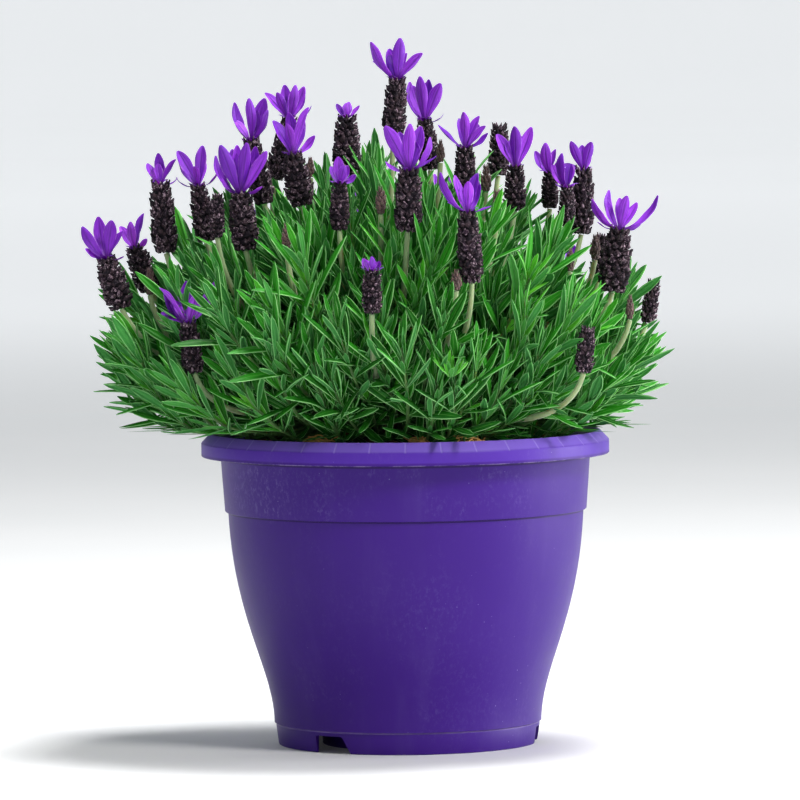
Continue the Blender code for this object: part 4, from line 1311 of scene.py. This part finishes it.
petal = {
    "length": 20.0 * mm,
    "width": 6.8 * mm,
    "thick": 0.25 * mm,
    "outline": ((0.0, 0.24), (0.16, 0.36), (0.36, 0.72), (0.56, 1.0), (0.75, 0.93), (0.9, 0.6), (1.0, 0.16)),
    "cup": (-1.1, -0.33, 0.0, -0.33, -1.1),  # across the blade, in mm
    "wave": 0.75 * mm,  # of its edges
    "crumple": 0.28 * mm,
    "curls": (-0.85, -0.55, -0.25, 0.15),  # below nothing: bulging outwards and closing at the tip
}

# for each head in turn, its petals as seen from the front: degrees to the right of upright, length in mm
petalFans = (
    ((-10, 20), (8, 18), (30, 15), (-34, 18), (-60, 10), (80, 7)),
    ((13, 17), (-8, 14), (-30, 10), (45, 7)),
    ((-3, 15), (31, 14), (66, 8), (-22, 8)),
    ((-29, 20), (-8, 10), (6, 19), (45, 13), (-64, 11)),
    ((-31, 22), (-20, 25), (-3, 23), (8, 25), (18, 23), (31, 23), (-45, 11), (70, 10)),
    ((-22, 21), (-2, 21), (17, 22), (27, 17)),
    ((-40, 17), (-22, 14), (-7, 18), (10, 17), (23, 18), (55, 12)),
    ((-28, 18), (-10, 15), (-5, 20), (18, 23), (46, 13)),
    ((-31, 8), (7, 8), (42, 8)),
    ((-2, 13), (12, 9), (57, 8)),
    ((-49, 14), (-32, 21), (-14, 15), (5, 20), (20, 13), (42, 17)),
    ((-19, 20), (-5, 22), (6, 20), (22, 20), (66, 9)),
    ((-67, 11), (-27, 23), (-14, 19), (1, 21), (14, 21), (30, 18), (60, 13)),
    ((-46, 16), (-2, 17), (23, 17), (40, 14), (54, 12)),
    ((-60, 9), (-32, 21), (-17, 18), (2, 14), (15, 19), (73, 10)),
    (),
    ((-27, 18), (-1, 19), (21, 21)),
    ((-75, 9), (-22, 15), (-4, 12), (14, 14)),
    ((-68, 10), (-40, 18), (-13, 19), (12, 16), (48, 23), (75, 9)),
    ((-66, 12), (-36, 21), (-1, 20), (18, 15), (33, 23)),
    ((-30, 7), (0, 7), (32, 6)),
)
# the petals of a head at the back, and of a young one
plainFan = ((-55, 12), (-30, 18), (-8, 20), (14, 19), (36, 18), (60, 12))
youngFan = ((-30, 13), (-8, 16), (12, 12))


def petalFinish():
    f = Finish("violetPetal", Specular_IOR_Level=0.3, Subsurface_Weight=0.12, Subsurface_Scale=0.002)
    f.shader.inputs["Subsurface Radius"].default_value = (0.7, 0.2, 1.0)
    u, v, _ = f.axes(f.uv("petalMap"))
    tint = f.attribute("tint")
    place = f.place()
    fromMiddle = f.magnitude(u - 0.5) * 2.0
    colour = f.mix(f.clamp(tint), (0.12, 0.006, 0.37), (0.36, 0.05, 0.76))
    # veins run along the petal
    lengthways = f.node("CombineXYZ", None, {"X": u * 9.0 + tint * 31.0, "Y": v * 0.9, "Z": tint * 17.0})
    streak = f.noise(lengthways, 2.2, 4.0, 0.65)
    colour = f.mix(f.step(streak, 0.4, 0.66) * 0.7, colour, (0.075, 0.004, 0.23))
    rib = 1.0 - f.step(fromMiddle, 0.03, 0.2)
    colour = f.mix(rib * 0.6 * (1.0 - f.step(v, 0.55, 0.95)), colour, (0.07, 0.006, 0.2))
    colour = f.mix((1.0 - f.step(v, 0.02, 0.32)) * 0.75, colour, (0.06, 0.008, 0.13))
    # painted highlight: paler, pinker patches along the petals' edges
    edge = f.step(fromMiddle, 0.8, 1.0) * f.step(f.noise(place, 260.0, 2.0), 0.45, 0.7)
    colour = f.mix(edge * 0.45, colour, (0.62, 0.3, 0.8))
    f.set("Base Color", colour)
    f.set("Roughness", f.clamp(0.4 + 0.25 * streak))
    f.bump(streak * 0.7 + rib * -0.8, 0.5, 0.0005)
    return f.material


def makePetal(name, curl, material):
    # a bract along +Z whose inner face looks along -X, towards the tuft's middle
    piece = flatBlade(name, petal, "petalMap")
    for number, vert in enumerate(piece.data.vertices):
        row, column = divmod(number, 5)
        along, width = petal["outline"][row]
        cup = petal["cup"][column] * mm * width
        wave = 0.0
        if column in (0, 4):
            turn = 3.6 * along * math.pi + column * 1.7 + 9.0 * curl
            wave = petal["wave"] * width * math.sin(turn)
        crumple = seed.uniform(-1.0, 1.0) * petal["crumple"] * width
        vert.co.z = cup + wave + crumple + curl * petal["length"] * (along**2 - along)
    solid = piece.modifiers.new("thickness", "SOLIDIFY")
    solid.thickness = petal["thick"]
    solid.offset = 0.0
    soft = piece.modifiers.new("soft", "SUBSURF")
    soft.levels = soft.render_levels = 1
    applyModifiers(piece)
    standUp(piece, material)
    smooth(piece)
    return piece


petalMaterial = petalFinish()
petalKinds = [makePetal(f"petal{i}", curl, petalMaterial) for i, curl in enumerate(petal["curls"])]


def makeTuft(name, head, fan, axis):
    # the petals of the fan about the axis, spread a little in depth, and a few more behind them
    base = head.top - head.axis * 1.2 * mm
    back = Vector((0.0, 1.0, 0.0))
    back = (back - axis * back.dot(axis)).normalized()
    right = back.cross(axis).normalized()
    parts = []
    for number, (angle, length) in enumerate(fan):
        depth = (-1.0) ** number * seed.uniform(0.1, 0.42)
        parts.append(addPetal(base, axis, right, back, angle, depth, length))
    for _ in range(max(3, len(fan) * 2 // 3)):
        angle = math.degrees(math.asin(head.axis.dot(right))) + seed.uniform(-30.0, 30.0)
        length = seed.uniform(0.6, 0.85) * head.petals / mm
        parts.append(addPetal(base, axis, right, back, angle, seed.uniform(0.2, 0.8), length))
    # a ruff of small dark bracts at the foot
    for step in range(7):
        turn = 2.0 * math.pi * (step + seed.uniform(-0.2, 0.2)) / 7
        ray = right * math.cos(turn) + back * math.sin(turn)
        along = (head.axis * 0.5 + ray).normalized()
        small = seed.uniform(0.2, 0.32)
        matrix = aim(base - head.axis * 0.6 * mm, along, head.axis, 0.0, (small, small * 1.2, small))
        parts.append(copyOf(seed.choice(petalKinds), matrix, -0.3))
    return joined(parts, name)


def addPetal(base, axis, right, back, angle, depth, length):
    turn = math.radians(angle)
    along = (axis * math.cos(turn) + right * math.sin(turn) + back * depth * math.cos(turn)).normalized()
    outward = right * 1.5 * math.sin(turn) + back * math.cos(turn) * (1.0 if depth > 0 else -1.0)
    tall = length * mm / petal["length"] * seed.uniform(0.97, 1.05)
    wide = min(1.0, 0.35 + 0.65 * tall) * seed.uniform(0.8, 1.05)
    place = base + (right * math.sin(turn) + back * depth) * 1.2 * mm
    matrix = aim(place, along, outward, seed.uniform(-0.5, 0.5), (tall, wide, tall))
    return copyOf(seed.choice(petalKinds), matrix, seed.random() - 0.3 * (abs(angle) > 50))


for number, head in enumerate(heads):
    if head.petals:
        tuft = makeTuft(f"petals_{number + 1:02d}", head, petalFans[number], up)
        finishPiece(tuft, "violet_bracts", head.petalNode)
for number, head in enumerate(smallHeads, 1):
    if head.petals:
        fan = plainFan if head.petals > 15.0 * mm else youngFan
        tuft = makeTuft(f"backPetals_{number:02d}", head, fan, head.axis)
        finishPiece(tuft, "violet_bracts")
discard(*petalKinds)
print("petals made")


# Floor, light and camera


studio = {
    "cameraBack": 3.4,
    "cameraHeight": 0.35,
    "cameraSide": -0.0022,
    "tiltDown": 3.2,
    "lens": 329.0,
    "roll": -0.6,
    "floor": (32.0, 24.0),
    "wall": 6.0,
    "sweep": 3.0,  # the curve from floor to wall
    "lowWall": 2.0,
    "glow": (1.2, 5.0),  # where the floor starts to glow, and where it is full
    "skyColour": (0.9, 0.95, 1.0, 1.0),
    "skyStrength": 0.27,
    # name, place, width, power, what it looks at, colour
    "lights": (
        ("keyLight", (1.5, -1.5, 1.9), 0.8, 66.0, (0.0, 0.0, 0.17), (1.0, 0.98, 0.94)),
        ("fillLight", (-1.6, -2.0, 1.0), 1.6, 2.5, (0.0, 0.0, 0.17), (0.93, 0.96, 1.0)),
        ("topLight", (0.4, 0.3, 2.4), 0.8, 75.0, (0.0, 0.0, 0.17), (1.0, 1.0, 1.0)),
        ("sideLight", (2.2, 0.35, 0.3), 1.4, 60.0, (0.0, 0.0, 0.1), (1.0, 0.98, 1.0)),
    ),
}


def makeBackdrop():
    deselectAll()
    bpy.ops.mesh.primitive_plane_add(size=1.0)
    floor = bpy.context.active_object
    floor.name = "studioFloor"
    back = 0.5 * studio["floor"][1] - 0.1
    startEdit()
    bpy.ops.transform.resize(value=(*studio["floor"], 1.0))
    pick(lambda edge: all(v.co.y > back for v in edge.verts), "edges")
    bpy.ops.mesh.extrude_edges_move(TRANSFORM_OT_translate={"value": (0.0, 0.0, studio["wall"])})
    pick(lambda edge: all(v.co.y > back and v.co.z < 0.1 for v in edge.verts), "edges")
    bpy.ops.mesh.bevel(offset=studio["sweep"], segments=16)
    # low walls along the other sides hide the far edge from a low camera
    pick(lambda edge: edge.is_boundary and all(v.co.z < 0.1 for v in edge.verts), "edges")
    bpy.ops.mesh.extrude_edges_move(TRANSFORM_OT_translate={"value": (0.0, 0.0, studio["lowWall"])})
    endEdit()
    f = Finish("paleFloor", Roughness=0.9, Emission_Strength=1.0)
    place = f.place()
    f.set("Base Color", f.mix(f.noise(place, 3.0), (0.78, 0.79, 0.79), (0.84, 0.84, 0.84)))
    # the far floor and the wall, beyond the lamps' reach, glow faintly to stay pale
    distance = f.node("VectorMath", {"operation": "LENGTH"}, {0: place}, "Value")
    far = f.step(distance, *studio["glow"])
    f.set("Emission Color", f.mix(far, (0.0, 0.0, 0.0), (0.47, 0.48, 0.49)))
    floor.data.materials.append(f.material)
    smooth(floor)


def addLight(name, place, size, power, target, colour):
    lamp = bpy.data.lights.new(name, "AREA")
    lamp.shape = "DISK"
    lamp.size = size
    lamp.energy = power
    lamp.color = colour
    piece = bpy.data.objects.new(name, lamp)
    piece.location = place
    piece.rotation_euler = (Vector(target) - Vector(place)).to_track_quat("-Z", "Y").to_euler()
    bpy.context.scene.collection.objects.link(piece)


def makeStudio():
    makeBackdrop()
    for light in studio["lights"]:
        addLight(*light)
    world = bpy.data.worlds.new("softDay")
    world.use_nodes = True
    sky = world.node_tree.nodes["Background"].inputs
    sky["Color"].default_value = studio["skyColour"]
    sky["Strength"].default_value = studio["skyStrength"]
    bpy.context.scene.world = world
    camera = bpy.data.objects.new("camera", bpy.data.cameras.new("camera"))
    camera.data.lens = studio["lens"]
    camera.data.sensor_width = 36.0
    camera.data.clip_end = 40.0
    camera.location = (studio["cameraSide"], -studio["cameraBack"], studio["cameraHeight"])
    tilt = Matrix.Rotation(math.radians(90.0 - studio["tiltDown"]), 3, "X")
    camera.rotation_euler = (tilt @ Matrix.Rotation(math.radians(studio["roll"]), 3, "Z")).to_euler()
    bpy.context.scene.collection.objects.link(camera)
    bpy.context.scene.camera = camera
    bpy.context.scene.view_settings.view_transform = "Standard"
    print("studio made")


makeStudio()
